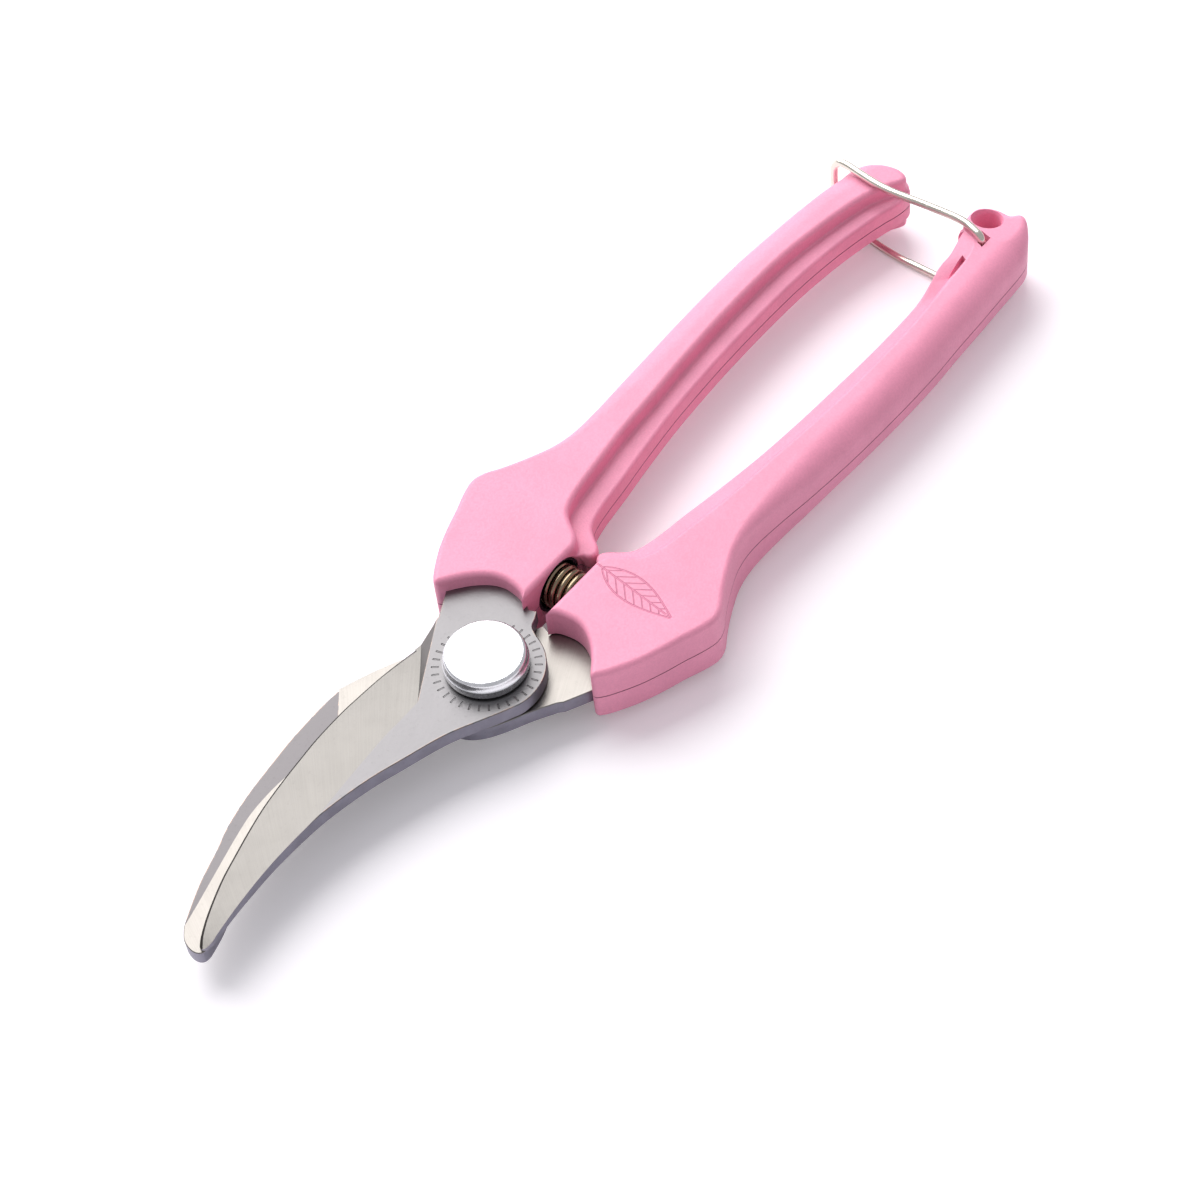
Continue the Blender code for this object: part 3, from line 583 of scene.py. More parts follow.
def counter_outline():
    """Round the counter blade: tang and neck on the +X side, boss, hooked back, tip and edge."""
    neck = smooth_line(heads((-0.2, 12.0), (-0.8, 10.5), (-2.2, 9.6), (-3.3, 9.1)), 9)
    boss = arc(Vector((0, 0)), BOSS, 110, 165, 26)
    steel = [(COUNTER_OUTER, 24), (COUNTER_BACK, 70), (COUNTER_TIP, 24)]
    sides = [point for line, count in steel for point in smooth_line(line, count)[:-1]]
    return tang_loop() + neck[:-1] + boss + sides + smooth_line(COUNTER_EDGE, 130)


def wedge(line, edge, face, back, lift):
    """What grinding takes off between a line on the face and an edge that keeps the given lift."""
    before, beyond, above = 0.3, 1.2, face + 3
    rings = []
    for start, end in zip(line, edge):
        along = end - start
        slope = (face - back - lift) / along.length
        outward = along.normalized()
        near = start - outward * before
        far = end + outward * beyond
        ground = [(*near, face + slope * before), (*far, back + lift - slope * beyond)]
        rings.append([*ground, (*far, above), (*near, above)])
    return skin(rings)


# ---- node groups


class Nodes:
    """Adds nodes to a tree and joins them, from left to right."""

    def __init__(self, tree):
        self.tree = tree
        self.column = 0

    def feed(self, socket, value):
        """Links the socket to another one, or sets its constant."""
        if isinstance(value, bpy.types.NodeSocket):
            self.tree.links.new(value, socket)
        else:
            socket.default_value = value

    def add(self, kind, inputs=None, **settings):
        node = self.tree.nodes.new(kind)
        self.column += 1
        node.location = (self.column * 190, 0)
        for name, value in settings.items():
            setattr(node, name, value)
        for key, value in (inputs or {}).items():
            self.feed(node.inputs[key], value)
        return node

    def math(self, operation, a, b=0.0):
        return self.add("ShaderNodeMath", {0: a, 1: b}, operation=operation).outputs[0]

    def plus(self, a, b):
        return self.math("ADD", a, b)

    def minus(self, a, b):
        return self.math("SUBTRACT", a, b)

    def times(self, a, b):
        return self.math("MULTIPLY", a, b)

    def over(self, a, b):
        return self.math("DIVIDE", a, b)

    def absolute(self, value):
        return self.math("ABSOLUTE", value)

    def range(self, value, low, high, to_low=0.0, to_high=1.0):
        labels = ("Value", "From Min", "From Max", "To Min", "To Max")
        sockets = dict(zip(labels, (value, low, high, to_low, to_high)))
        return self.add("ShaderNodeMapRange", sockets, interpolation_type="SMOOTHSTEP").outputs[0]

    def noise(self, vector, scale, detail=2.0, roughness=0.5):
        sockets = {"Vector": vector, "Scale": scale, "Detail": detail, "Roughness": roughness}
        return self.add("ShaderNodeTexNoise", sockets).outputs["Fac"]

    def mix(self, factor, a, b):
        sockets = {0: factor, 6: a, 7: b}
        return self.add("ShaderNodeMix", sockets, data_type="RGBA", clamp_factor=True).outputs[2]

    def vector(self, operation, a, b=(0.0, 0.0, 0.0)):
        return self.add("ShaderNodeVectorMath", {0: a, 1: b}, operation=operation)

    def parts(self, vector):
        """The X, Y and Z of a vector."""
        return self.add("ShaderNodeSeparateXYZ", {0: vector}).outputs

    def group(self, name, vector, **inputs):
        """The outputs of a shared node group."""
        node = self.add("ShaderNodeGroup", node_tree=bpy.data.node_groups[name])
        for key, value in {"Vector": vector, **inputs}.items():
            self.feed(node.inputs[key], value)
        return node.outputs


def new_group(name, inputs, outputs):
    """The builder and inputs of a new shader group. An input is a number, or None for a vector."""
    tree = bpy.data.node_groups.new(name, "ShaderNodeTree")
    for label, value in inputs.items():
        kind = "NodeSocketVector" if value is None else "NodeSocketFloat"
        socket = tree.interface.new_socket(label, in_out="INPUT", socket_type=kind)
        if value is not None:
            socket.default_value = value
    for label in outputs:
        tree.interface.new_socket(label, in_out="OUTPUT", socket_type="NodeSocketFloat")
    nodes = Nodes(tree)
    return nodes, nodes.add("NodeGroupInput").outputs


def close_group(nodes, results):
    nodes.add("NodeGroupOutput", results)


def group_fine_grain():
    """Moulded or blasted grain: a height and a slight unevenness of shade."""
    n, given = new_group("Fine Grain", {"Vector": None, "Scale": 3000.0}, ["Height", "Shade"])
    fine = n.noise(given["Vector"], given["Scale"], 3.0, 0.6)
    coarse = n.noise(given["Vector"], n.times(given["Scale"], 0.21), 2.0)
    height = n.plus(n.times(fine, 0.7), n.times(coarse, 0.5))
    close_group(n, {"Height": height, "Shade": n.range(fine, 0.36, 0.64)})


def group_mottle():
    """Cloudy patches of two sizes, for forged scale, handling marks and uneven plating."""
    outputs = ["Patches", "Specks", "Height"]
    n, given = new_group("Mottle", {"Vector": None, "Scale": 300.0}, outputs)
    patches = n.noise(given["Vector"], given["Scale"], 5.0, 0.62)
    specks = n.noise(given["Vector"], n.times(given["Scale"], 5.3), 2.0, 0.7)
    height = n.plus(n.times(patches, 0.6), n.times(specks, 0.4))
    results = {"Patches": n.range(patches, 0.36, 0.64), "Specks": n.range(specks, 0.6, 0.74)}
    close_group(n, {**results, "Height": height})


def group_ground_lines():
    """Fine lines across a ground face. They run towards the middle of a curved edge."""
    inputs = {"Vector": None, "Middle": None, "Lines": 900.0}
    n, given = new_group("Ground Lines", inputs, ["Height", "Streaks"])
    spoke = n.vector("SUBTRACT", given["Vector"], given["Middle"]).outputs[0]
    split = n.parts(spoke)
    turn = n.math("ARCTAN2", split["Y"], split["X"])
    reach = n.vector("LENGTH", spoke).outputs["Value"]
    along = n.times(turn, given["Lines"])
    across = n.times(reach, 60.0)
    fine = n.noise(n.add("ShaderNodeCombineXYZ", {0: along, 1: across}).outputs[0], 1.0, 3.0, 0.7)
    wide = n.add("ShaderNodeCombineXYZ", {0: n.times(along, 0.35), 1: across}).outputs[0]
    close_group(n, {"Height": fine, "Streaks": n.range(n.noise(wide, 1.0, 2.0), 0.35, 0.65)})


def group_tick_ring():
    """A ring of short stamped strokes round a point, like the scale on a dial."""
    inputs = {"Vector": None, "Middle": None, "Inner": 0.0078, "Outer": 0.0091, "Count": 34.0}
    n, given = new_group("Tick Ring", inputs, ["Mask"])
    split = n.parts(n.vector("SUBTRACT", given["Vector"], given["Middle"]).outputs[0])
    squares = [n.times(split[axis], split[axis]) for axis in "XY"]
    reach = n.math("SQRT", n.plus(*squares))
    turn = n.math("ARCTAN2", split["Y"], split["X"])
    share = n.math("FRACT", n.times(n.over(turn, 2 * math.pi), given["Count"]))
    line = n.range(n.absolute(n.minus(share, 0.5)), 0.11, 0.04)
    fade = 0.00015
    inside = n.range(reach, given["Inner"], n.plus(given["Inner"], fade))
    outside = n.range(reach, given["Outer"], n.minus(given["Outer"], fade))
    close_group(n, {"Mask": n.times(line, n.times(inside, outside))})


def group_leaf_mark():
    """A plain leaf with a midrib and side veins, drawn as a thin line."""
    inputs = {"Vector": None, "Middle": None, "Turn": 0.0, "Length": 0.016, "Width": 0.005}
    n, given = new_group("Leaf Mark", {**inputs, "Line": 0.00018}, ["Mask"])
    spoke = n.vector("SUBTRACT", given["Vector"], given["Middle"]).outputs[0]
    rotation = {"Vector": spoke, "Angle": n.times(given["Turn"], -1.0)}
    split = n.parts(n.add("ShaderNodeVectorRotate", rotation, rotation_type="Z_AXIS").outputs[0])
    u = n.plus(n.over(split["X"], given["Length"]), 0.5)
    inside = n.times(n.range(u, 0.0, 0.02), n.range(u, 1.0, 0.98))
    bow = n.math("SINE", n.times(n.math("POWER", n.math("MAXIMUM", u, 0.0), 0.8), math.pi))
    edge = n.times(n.times(bow, given["Width"]), 0.5)
    v = n.absolute(split["Y"])
    thin = n.times(given["Line"], 0.5)
    outline = n.range(n.absolute(n.minus(v, edge)), given["Line"], thin)
    stem_in = n.times(n.range(u, -0.16, -0.14), n.range(u, 0.95, 0.9))
    rib = n.times(n.range(v, given["Line"], thin), stem_in)
    slant = n.minus(n.times(u, 8.0), n.over(v, n.times(given["Width"], 0.33)))
    vein = n.absolute(n.minus(n.math("FRACT", slant), 0.5))
    vein_line = n.times(n.range(vein, 0.1, 0.04), n.range(n.minus(edge, v), 0.0, thin))
    drawn = n.math("MAXIMUM", n.times(outline, inside), n.times(vein_line, inside))
    height = n.parts(given["Vector"])["Z"]
    near_top = n.range(height, SHELL_HIGH[2] - 0.0003, SHELL_HIGH[2] - 0.0001)
    close_group(n, {"Mask": n.times(n.math("MAXIMUM", drawn, rib), near_top)})


def group_edge_wear_and_highlight():
    """How near a surface point is to a sharp edge, broken up by noise."""
    inputs = {"Vector": None, "Width": 0.0003, "Patchiness": 700.0}
    n, given = new_group("Edge Wear And Highlight", inputs, ["Mask"])
    soft = n.add("ShaderNodeBevel", {"Radius": given["Width"]}, samples=6).outputs[0]
    flat = n.add("ShaderNodeNewGeometry").outputs["Normal"]
    near = n.range(n.vector("DOT_PRODUCT", soft, flat).outputs["Value"], 0.995, 0.9)
    patch = n.range(n.noise(given["Vector"], given["Patchiness"], 3.0), 0.35, 0.6)
    close_group(n, {"Mask": n.times(near, patch)})


# ---- materials


def new_material(name):
    """A material, its Principled shader's inputs, its node builder and its coordinates."""
    made = bpy.data.materials.new(name)
    made.use_nodes = True
    tree = made.node_tree
    n = Nodes(tree)
    where = n.add("ShaderNodeTexCoord").outputs["Object"]
    return made, tree.nodes["Principled BSDF"].inputs, n, where


def bumped(n, given, height, distance, under=None):
    """Gives the shader a bump, on top of another bump where there is one."""
    sockets = {"Height": height, "Distance": distance}
    if under is not None:
        sockets["Normal"] = under
    bump = n.add("ShaderNodeBump", sockets).outputs[0]
    n.feed(given["Normal"], bump)
    return bump


def tone(colour, share):
    """The colour made darker or lighter by a share."""
    return (colour[0] * share, colour[1] * share, colour[2] * share, 1.0)


def material_pink_plastic(settings):
    """Moulded plastic with a fine grain, a dark seam, a leaf mark with painted shade in its lines,
    and edges lightened as a painted highlight.
    """
    made, given, n, where = new_material("pink_plastic")
    colour = tuple(settings.colour)
    grain = n.group("Fine Grain", where, Scale=2600.0)
    cloud = n.group("Mottle", where, Scale=90.0)
    edge_wear_and_highlight = n.group("Edge Wear And Highlight", where, Width=0.0004)
    mark_at = (PIVOT_X + 0.0122, PIVOT_Y + 0.0240, SEAM_Z)
    leaf = n.group("Leaf Mark", where, Middle=mark_at, Turn=-0.12)
    off_seam = n.absolute(n.minus(n.parts(where)["Z"], SEAM_Z))
    seam = n.range(off_seam, 0.00016, 0.00006)
    # Lighter pink near sharp edges, kept off the seam: a painted highlight along the rounded edges.
    painted_edge_highlight = n.times(n.times(edge_wear_and_highlight["Mask"], 0.3), n.range(off_seam, 0.0003, 0.0006))
    shade = n.mix(cloud["Patches"], tone(colour, 0.95), tone(colour, 1.02))
    shade = n.mix(n.times(grain["Shade"], 0.16), shade, tone(colour, 0.66))
    shade = n.mix(painted_edge_highlight, shade, (0.95, 0.55, 0.72, 1))
    shade = n.mix(n.times(seam, 0.85), shade, tone(colour, 0.3))
    # The leaf's lines are painted darker as the shade in their engraved grooves. The same mask also
    # bumps them in below.
    n.feed(given["Base Color"], n.mix(n.times(leaf["Mask"], 0.6), shade, (0.66, 0.15, 0.29, 1)))
    n.feed(given["Roughness"], n.range(grain["Shade"], 0.0, 1.0, 0.42, 0.52))
    fine = bumped(n, given, grain["Height"], settings.grain_depth * MM)
    bumped(n, given, n.times(leaf["Mask"], -1.0), 0.00014, fine)
    given["IOR"].default_value = 1.46
    return made


def two_tone(n, colour, pattern, tones, specks, speck_tone):
    """A shade between two tones of the colour by a pattern, with darker specks over it."""
    shade = n.mix(pattern, *(tone(colour, share) for share in tones))
    return n.mix(specks, shade, tone(colour, speck_tone))


def material_forged(settings, name, colour, warmth):
    """Grey forged or blackened steel with cloudy scale, specks and a warm tint at its edges."""
    made, given, n, where = new_material(name)
    scale = n.group("Mottle", where, Scale=260.0)
    edge_wear_and_highlight = n.group("Edge Wear And Highlight", where, Width=0.00035)
    ticks = n.group("Tick Ring", where, Middle=(PIVOT_X, PIVOT_Y, SEAM_Z))
    specks = n.times(scale["Specks"], 0.22)
    shade = two_tone(n, colour, scale["Patches"], (0.92, 1.06), specks, 0.6)
    shade = n.mix(n.times(edge_wear_and_highlight["Mask"], warmth), shade, (0.62, 0.40, 0.28, 1))
    n.feed(given["Base Color"], n.mix(n.times(ticks["Mask"], 0.45), shade, tone(colour, 0.5)))
    n.feed(given["Roughness"], n.range(scale["Patches"], 0.0, 1.0, 0.39, 0.45))
    given["Metallic"].default_value = 1.0
    fine = bumped(n, given, scale["Height"], settings.scale_depth * MM)
    bumped(n, given, n.times(ticks["Mask"], -1.0), 0.00016, fine)
    return made


def material_ground(settings, name, colour, roughness):
    """Satin ground steel with lines across it."""
    made, given, n, where = new_material(name)
    middle = (PIVOT_X + 0.060, PIVOT_Y - 0.095, SEAM_Z)
    lines = n.group("Ground Lines", where, Middle=middle, Lines=1500.0)
    cloud = n.group("Mottle", where, Scale=220.0)
    specks = n.times(cloud["Specks"], 0.18)
    n.feed(given["Base Color"], two_tone(n, colour, lines["Streaks"], (0.97, 1.025), specks, 0.65))
    rough = n.range(cloud["Patches"], 0.0, 1.0, roughness - 0.012, roughness + 0.015)
    n.feed(given["Roughness"], rough)
    given["Metallic"].default_value = 1.0
    bumped(n, given, lines["Height"], settings.line_depth * MM)
    return made


def material_plated(name, colour, roughness, ticks=False):
    """Bright plating with faint handling marks, and a ring of ticks for a bolt's head."""
    made, given, n, where = new_material(name)
    cloud = n.group("Mottle", where, Scale=420.0)
    specks = n.times(cloud["Specks"], 0.15)
    n.feed(given["Base Color"], two_tone(n, colour, cloud["Patches"], (0.95, 1.03), specks, 0.7))
    rough = n.range(cloud["Patches"], 0.0, 1.0, roughness - 0.04, roughness + 0.05)
    n.feed(given["Roughness"], rough)
    given["Metallic"].default_value = 1.0
    fine = bumped(n, given, cloud["Height"], 0.00002)
    if ticks:
        middle = (PIVOT_X, PIVOT_Y, SEAM_Z)
        ring = n.group("Tick Ring", where, Middle=middle, Inner=0.0044, Outer=0.0053, Count=32.0)
        bumped(n, given, n.times(ring["Mask"], -1.0), 0.00006, fine)
    return made


def material_black_plastic():
    """Black plastic with the moulded grain."""
    made, given, n, where = new_material("black_plastic")
    grain = n.group("Fine Grain", where, Scale=2600.0)
    shade = n.mix(grain["Shade"], (0.008, 0.007, 0.009, 1), (0.016, 0.014, 0.018, 1))
    n.feed(given["Base Color"], shade)
    n.feed(given["Roughness"], n.range(grain["Shade"], 0.0, 1.0, 0.4, 0.55))
    bumped(n, given, grain["Height"], 0.00003)
    return made


def material_floor(settings):
    """A pale floor that looks lit from below, where the camera sees it."""
    made, given, n, where = new_material("pale_floor")
    cloud = n.group("Mottle", where, Scale=9.0)
    colour = tuple(settings.floor_colour)
    n.feed(given["Base Color"], n.mix(cloud["Patches"], tone(colour, 0.995), tone(colour, 1.0)))
    given["Roughness"].default_value = 0.9
    given["Specular IOR Level"].default_value = 0.1
    given["Emission Color"].default_value = (1.0, 0.97, 0.99, 1)
    seen = n.add("ShaderNodeLightPath").outputs["Is Camera Ray"]
    n.feed(given["Emission Strength"], n.times(seen, settings.floor_glow))
    return made


# ---- settings


def colour_setting(name, text, default):
    return bpy.props.FloatVectorProperty(
        name=name, description=text, subtype="COLOR", size=3, min=0.0, max=1.0, default=default
    )


def number_setting(name, text, default, low=0.0, **more):
    return bpy.props.FloatProperty(name=name, description=text, default=default, min=low, **more)


class ShearsHandleSettings(bpy.types.PropertyGroup):
    """Sizes and colour of the moulded handles."""

    colour: colour_setting("Plastic Colour", "Colour of the moulded plastic", (0.90, 0.333, 0.485))
    grain_depth: number_setting("Grain Depth", "Depth of the moulded grain, in mm", 0.07)
    step_radius: number_setting(
        "Step Radius", "Radius along the ledge and at the grip's foot, in mm", 0.6, 0.1, max=1.2
    )


class ShearsSteelSettings(bpy.types.PropertyGroup):
    """Sizes and colours of the two blades."""

    forged_colour: colour_setting(
        "Forged Colour", "Colour of the forged steel", (0.195, 0.19, 0.194)
    )
    ground_colour: colour_setting(
        "Ground Colour", "Colour of the ground bevel", (0.172, 0.165, 0.155)
    )
    rim: number_setting("Rim", "Chamfer along a blade's rims, in mm", 0.12, 0.02, max=0.5)
    scale_depth: number_setting("Scale Depth", "Depth of the forged scale, in mm", 0.05)
    line_depth: number_setting("Line Depth", "Depth of the grinding lines, in mm", 0.01)


class ShearsWireSettings(bpy.types.PropertyGroup):
    """Sizes and colours of the spring and of the wire catch."""

    spring_wire: number_setting("Spring Wire", "Thickness of the spring's wire, in mm", 1.2, 0.4)
    spring_turns: bpy.props.IntProperty(
        name="Spring Turns", description="Turns of the return spring", default=13, min=4
    )
    catch_wire: number_setting("Catch Wire", "Thickness of the catch's wire, in mm", 1.45, 0.5)
    catch_colour: colour_setting("Catch Colour", "Colour of the plating", (0.80, 0.75, 0.66))


class ShearsStageSettings(bpy.types.PropertyGroup):
    """Floor, lights and camera."""

    floor_colour: colour_setting("Floor Colour", "Colour of the floor", (0.95, 0.93, 0.96))
    floor_glow: number_setting("Floor Glow", "Strength of the light from under the floor", 0.17)
    sky: number_setting("Sky", "Strength of the even light from all round", 0.5)
    key: number_setting("Key Light", "Power of the large soft light", 15.0, unit="POWER")


# ---- operators


class SHEARS_OT_groups(bpy.types.Operator):
    """Build the node groups that the materials share"""

    bl_idname = "shears.groups"
    bl_label = "Shared Node Groups"

    def execute(self, context):
        group_fine_grain()
        group_mottle()
        group_ground_lines()
        group_tick_ring()
        group_leaf_mark()
        group_edge_wear_and_highlight()
        return {"FINISHED"}


class SHEARS_OT_handles(bpy.types.Operator):
    """Build the four moulded half shells of the handles"""

    bl_idname = "shears.handles"
    bl_label = "Handle Shells"

    def execute(self, context):
        settings = context.scene.shears_handles
        pink = material_pink_plastic(settings)
        for word, side, body in (("right", 1, "counter_side"), ("left", -1, "cutting_side")):
            for level, up, rim in (("upper", 1, 1.0), ("lower", -1, 1.8)):
                rings = shell_rings(side, *handle_loops(side, rim), settings.step_radius)
                turned_rings = [[(x, y, up * z) for x, y, z in ring] for ring in rings]
                cutters = self.cutters(side, up)
                name = f"{word}_{level}_shell"
                made = carved(name, skin(turned_rings), cutters)
                finished(made, body, [pink], [f"{word}_handle_{level}_shell"])
        return {"FINISHED"}

    def cutters(self, side, up):
        """Seat bore, tang pocket, pin holes and, on the right handle, the tab's holes."""
        mouth = Matrix.Translation((side * FACE_X, SPRING_Y, 0))
        mouth = mouth @ Matrix.Rotation(side * math.pi / 2, 4, "Y")
        bore = [(0, 8.2), (5.1, 8.2), (5.1, 0.3), (5.6, -0.2), (5.6, -1.2), (0, -1.2)]
        cutters = [moved(turned(bore), mouth)]
        if side * up < 0:
            tang = tang_loop()
            loop = inset_loop(tang, [-0.06] * len(tang))
            loop += heads((0.5, 11.0), (3.0, 9.0), (11.5, 2.0))
            loop = [Vector((side * p.x, p.y)) for p in loop]
            cutters.append(plate(loop, *sorted((-0.4 * up, 3.0 * up))))
        cutters += pin_holes(side, 4.7)
        if side > 0:
            cutters += self.tab_cutters(up)
        return cutters

    def tab_cutters(self, up):
        """Hang hole, the wire's bore, the channel that it lies in, and the wedge recess."""
        rim = HALF + 0.6
        low = HALF * 0.78
        profile = [(0, rim), (3.4, rim), (2.9, low + 0.4), (2.55, low - 0.3), (2.45, low - 0.8)]
        profile += [(radius, -height) for radius, height in reversed(profile)]
        hang = moved(turned(profile), Matrix.Translation((TAB_HOLE.x, TAB_HOLE.y, 0)))
        top, floor = HALF + 1, HALF - 3.8
        bore = [(0, top), (0.9, top), (0.9, floor), (0, floor)]
        flip = Matrix.Translation((HINGE.x, HINGE.y, 0)) @ Matrix.Diagonal((1, 1, up, 1))
        hole = moved(turned(bore, 32), flip)
        bmesh.ops.recalc_face_normals(hole, faces=hole.faces)
        channel = [(13.7, 120.4), (13.7, 123.2), (11.5, 123.8), (5.8, 124.2)]
        channel += [(5.8, 122.3), (8.5, 122.2), (11.5, 121.4)]
        groove = [(13.3, 107.2), (13.4, 112.5), (13.1, 116.4), (12.0, 116.9), (12.3, 113.0)]
        recesses = [
            plate(heads(*outline), *sorted((up * (HALF - depth), up * (HALF + 1))))
            for outline, depth in ((channel, 1.7), (groove, 1.5))
        ]
        return [hang, hole, *recesses]


class SHEARS_OT_cutting_blade(bpy.types.Operator):
    """Build the ground cutting blade with its tang"""

    bl_idname = "shears.cutting_blade"
    bl_label = "Cutting Blade"

    def execute(self, context):
        settings = context.scene.shears_steel
        low, high = height_range("cutting_blade")
        body = plate(cutting_outline(), low, high, settings.rim)
        line = smooth_line(BEVEL_LINE, 90)
        edge = smooth_line(BEVEL_EDGE, 90)
        ground = wedge(line, edge, high, low, 0.25)
        keen = smooth_line(BEVEL_EDGE[1:], 84)
        honed = wedge(inset_line(keen, 0.42), keen, low + 0.37, low, 0.06)
        corner = Vector((-13.2, 3.0, high))
        along = Vector((-4.4, -12.1, high)) - corner
        down = Vector((-12.9, -2.0, low + 0.25)) - corner
        normal = along.cross(down)
        if normal.y < 0:
            normal.negate()
        bmesh.ops.bisect_plane(
            ground,
            geom=ground.verts[:] + ground.edges[:] + ground.faces[:],
            plane_co=corner,
            plane_no=normal,
            clear_outer=True,
        )
        bmesh.ops.holes_fill(ground, edges=ground.edges[:])
        bmesh.ops.recalc_face_normals(ground, faces=ground.faces)
        cutters = [paint(ground, 1), paint(honed, 3), rod(BORE, 9), *pin_holes(-1, 9)]
        made = carved("cutting_blade_steel", body, cutters, slots=4)
        paint_sides(made, 2)
        forged = material_forged(settings, "forged_steel", settings.forged_colour, 0.5)
        bevel = material_ground(settings, "ground_bevel", settings.ground_colour, 0.34)
        # The upright faces get a bluer grey copy of the forged steel: a painted reflection of what
        # those faces mirror.
        side = material_forged(settings, "forged_side_painted_reflection", (0.31, 0.30, 0.36), 0.2)
        # The honed micro-bevel's near-black colour is painted shade and dark reflection along the
        # cutting edge.
        dark = material_ground(settings, "honed_edge_painted_shade", (0.035, 0.03, 0.027), 0.3)
        finishes = [forged, bevel, side, dark]
        finished(made, "cutting_side", finishes, ["cutting_blade"], sharp=9)
        return {"FINISHED"}


class SHEARS_OT_counter_blade(bpy.types.Operator):
    """Build the hooked counter blade with its tang"""

    bl_idname = "shears.counter_blade"
    bl_label = "Counter Blade"

    def execute(self, context):
        settings = context.scene.shears_steel
        low, high = height_range("counter_blade")
        body = plate(counter_outline(), low, high, settings.rim)
        line = smooth_line(FORGED_LINE, 60)
        foot = smooth_line(FORGED_FOOT, 60)
        slope = wedge(line, foot, high, low, high - low - 0.75)
        cutters = [paint(slope, 1), rod(BORE, 9), *pin_holes(1, 9)]
        made = carved("counter_blade_steel", body, cutters, slots=3)
        paint_sides(made, 2)
        ground = material_ground(settings, "counter_ground", (0.255, 0.241, 0.224), 0.34)
        forged = material_forged(settings, "counter_forged", (0.135, 0.128, 0.132), 0.6)
        # The upright faces get a bluer grey copy of the forged steel: a painted reflection of what
        # those faces mirror.
        side = material_forged(settings, "counter_side_painted_reflection", (0.31, 0.30, 0.36), 0.2)
        finishes = [ground, forged, side]
        finished(made, "counter_side", finishes, ["counter_blade"], sharp=9)
        return {"FINISHED"}


class SHEARS_OT_pivot(bpy.types.Operator):
    """Build the pivot bolt, washer and nut"""

    bl_idname = "shears.pivot"
    bl_label = "Pivot Bolt, Washer and Nut"

    def execute(self, context):
        zinc = material_plated("zinc_plating", (0.88, 0.89, 0.91), 0.24, ticks=True)
        plain = material_plated("plain_plating", (0.70, 0.71, 0.73), 0.3)
        end, top = height_range("pivot_bolt")
        seat = height_range("cutting_blade")[1] + 0.3
        rim = half_width("pivot_bolt")
        profile = [(0, top)]
        for step in range(9):
            angle = math.pi / 2 * step / 8
            out, down = 0.75 * math.sin(angle), 0.75 * (1 - math.cos(angle))
            profile.append((rim - 1.0 + out, top - down))
        profile += [(rim - 0.2, top - 1.5), (rim - 0.02, top - 1.75), (rim, seat + 0.5)]
        profile += [(rim - 0.15, seat + 0.12), (rim - 0.4, seat), (3.5, seat), (3.5, end + 0.4)]
        profile += [(3.1, end), (0, end)]
        bolt = plain_object("pivot_bolt_head", turned(profile, 96))
        finished(bolt, "counter_side", [zinc], ["pivot_bolt"])
        low, high = height_range("pivot_washer")
        rim = half_width("pivot_washer")
        ring = [(BORE, high), (rim - 0.2, high), (rim, high - 0.2)]
        ring += [(rim, low + 0.2), (rim - 0.2, low), (BORE, low), (BORE, high)]
        washer = plain_object("pivot_washer_ring", turned(ring, 96))
        finished(washer, "counter_side", [plain], ["pivot_washer"])
        self.nut(plain)
        return {"FINISHED"}

    def nut(self, plain):
        """A hexagon with rounded corners, coned at both ends."""
        low, high = height_range("pivot_nut")
        bm = bmesh.new()
        across_flats = 11.0
        radius = across_flats / math.sqrt(3)
        size = {"radius1": radius, "radius2": radius, "depth": high - low}
        middle = Matrix.Translation((0, 0, (high + low) / 2))
        bmesh.ops.create_cone(bm, cap_ends=True, segments=6, matrix=middle, **size)
        uprights = [edge for edge in bm.edges if abs(edge.verts[0].co.z - edge.verts[1].co.z) > 1]
        rounding = {"offset": 0.35, "offset_type": "OFFSET", "segments": 3, "profile": 0.5}
        bmesh.ops.bevel(bm, geom=uprights, affect="EDGES", material=-1, **rounding)
        upper = [(8, high + 1), (5.2, high + 0.3), (7.0, high - 0.75), (8, high - 0.75)]
        lower = [(8, low + 0.75), (7.0, low + 0.75), (5.2, low - 0.3), (8, low - 1)]
        bore = [(0, high + 1), (4.6, high + 1), (BORE, high - 0.3)]
        bore += [(BORE, low + 0.3), (4.6, low - 1), (0, low - 1)]
        cutters = [turned(upper + upper[:1]), turned(lower + lower[:1]), turned(bore)]
        made = carved("pivot_nut_hex", bm, cutters)
        finished(made, "counter_side", [plain], ["pivot_nut"], sharp=20)


class SHEARS_OT_spring(bpy.types.Operator):
    """Build the return spring and its two seats"""

    bl_idname = "shears.spring"
    bl_label = "Return Spring and Seats"

    def execute(self, context):
        settings = context.scene.shears_wire
        black = material_black_plastic()
        for word, side, body in (("right", 1, "counter_side"), ("left", -1, "cutting_side")):
            cup = [(0, 0), (4.8, 0), (5.0, 0.2), (5.0, 7.6), (4.85, 7.8), (4.65, 7.8), (4.5, 7.6)]
            cup += [(4.5, 1.0), (0, 1.0)]
            floor = Matrix.Translation((side * (FACE_X + 8.1), SPRING_Y, 0))
            turn = floor @ Matrix.Rotation(-side * math.pi / 2, 4, "Y")
            made = plain_object(f"{word}_seat_cup", moved(turned(cup), turn))
            finished(made, body, [black], [f"{word}_spring_seat"])
        reach, coil_radius, per_turn = 8.9, 3.5, 40
        path = []
        for i in range(settings.spring_turns * per_turn + 1):
            turn = i / per_turn
            angle = 2 * math.pi * turn
            x = -reach + 2 * reach * turn / settings.spring_turns
            y = SPRING_Y + coil_radius * math.cos(angle)
            path.append(Vector((x, y, coil_radius * math.sin(angle))))
        bronze = material_plated("spring_steel", (0.30, 0.24, 0.16), 0.24)
        coil = plain_object("return_spring_coil", tube(path, settings.spring_wire / 2))
        finished(coil, None, [bronze], ["return_spring"], sharp=60)
        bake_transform(coil)
        return {"FINISHED"}


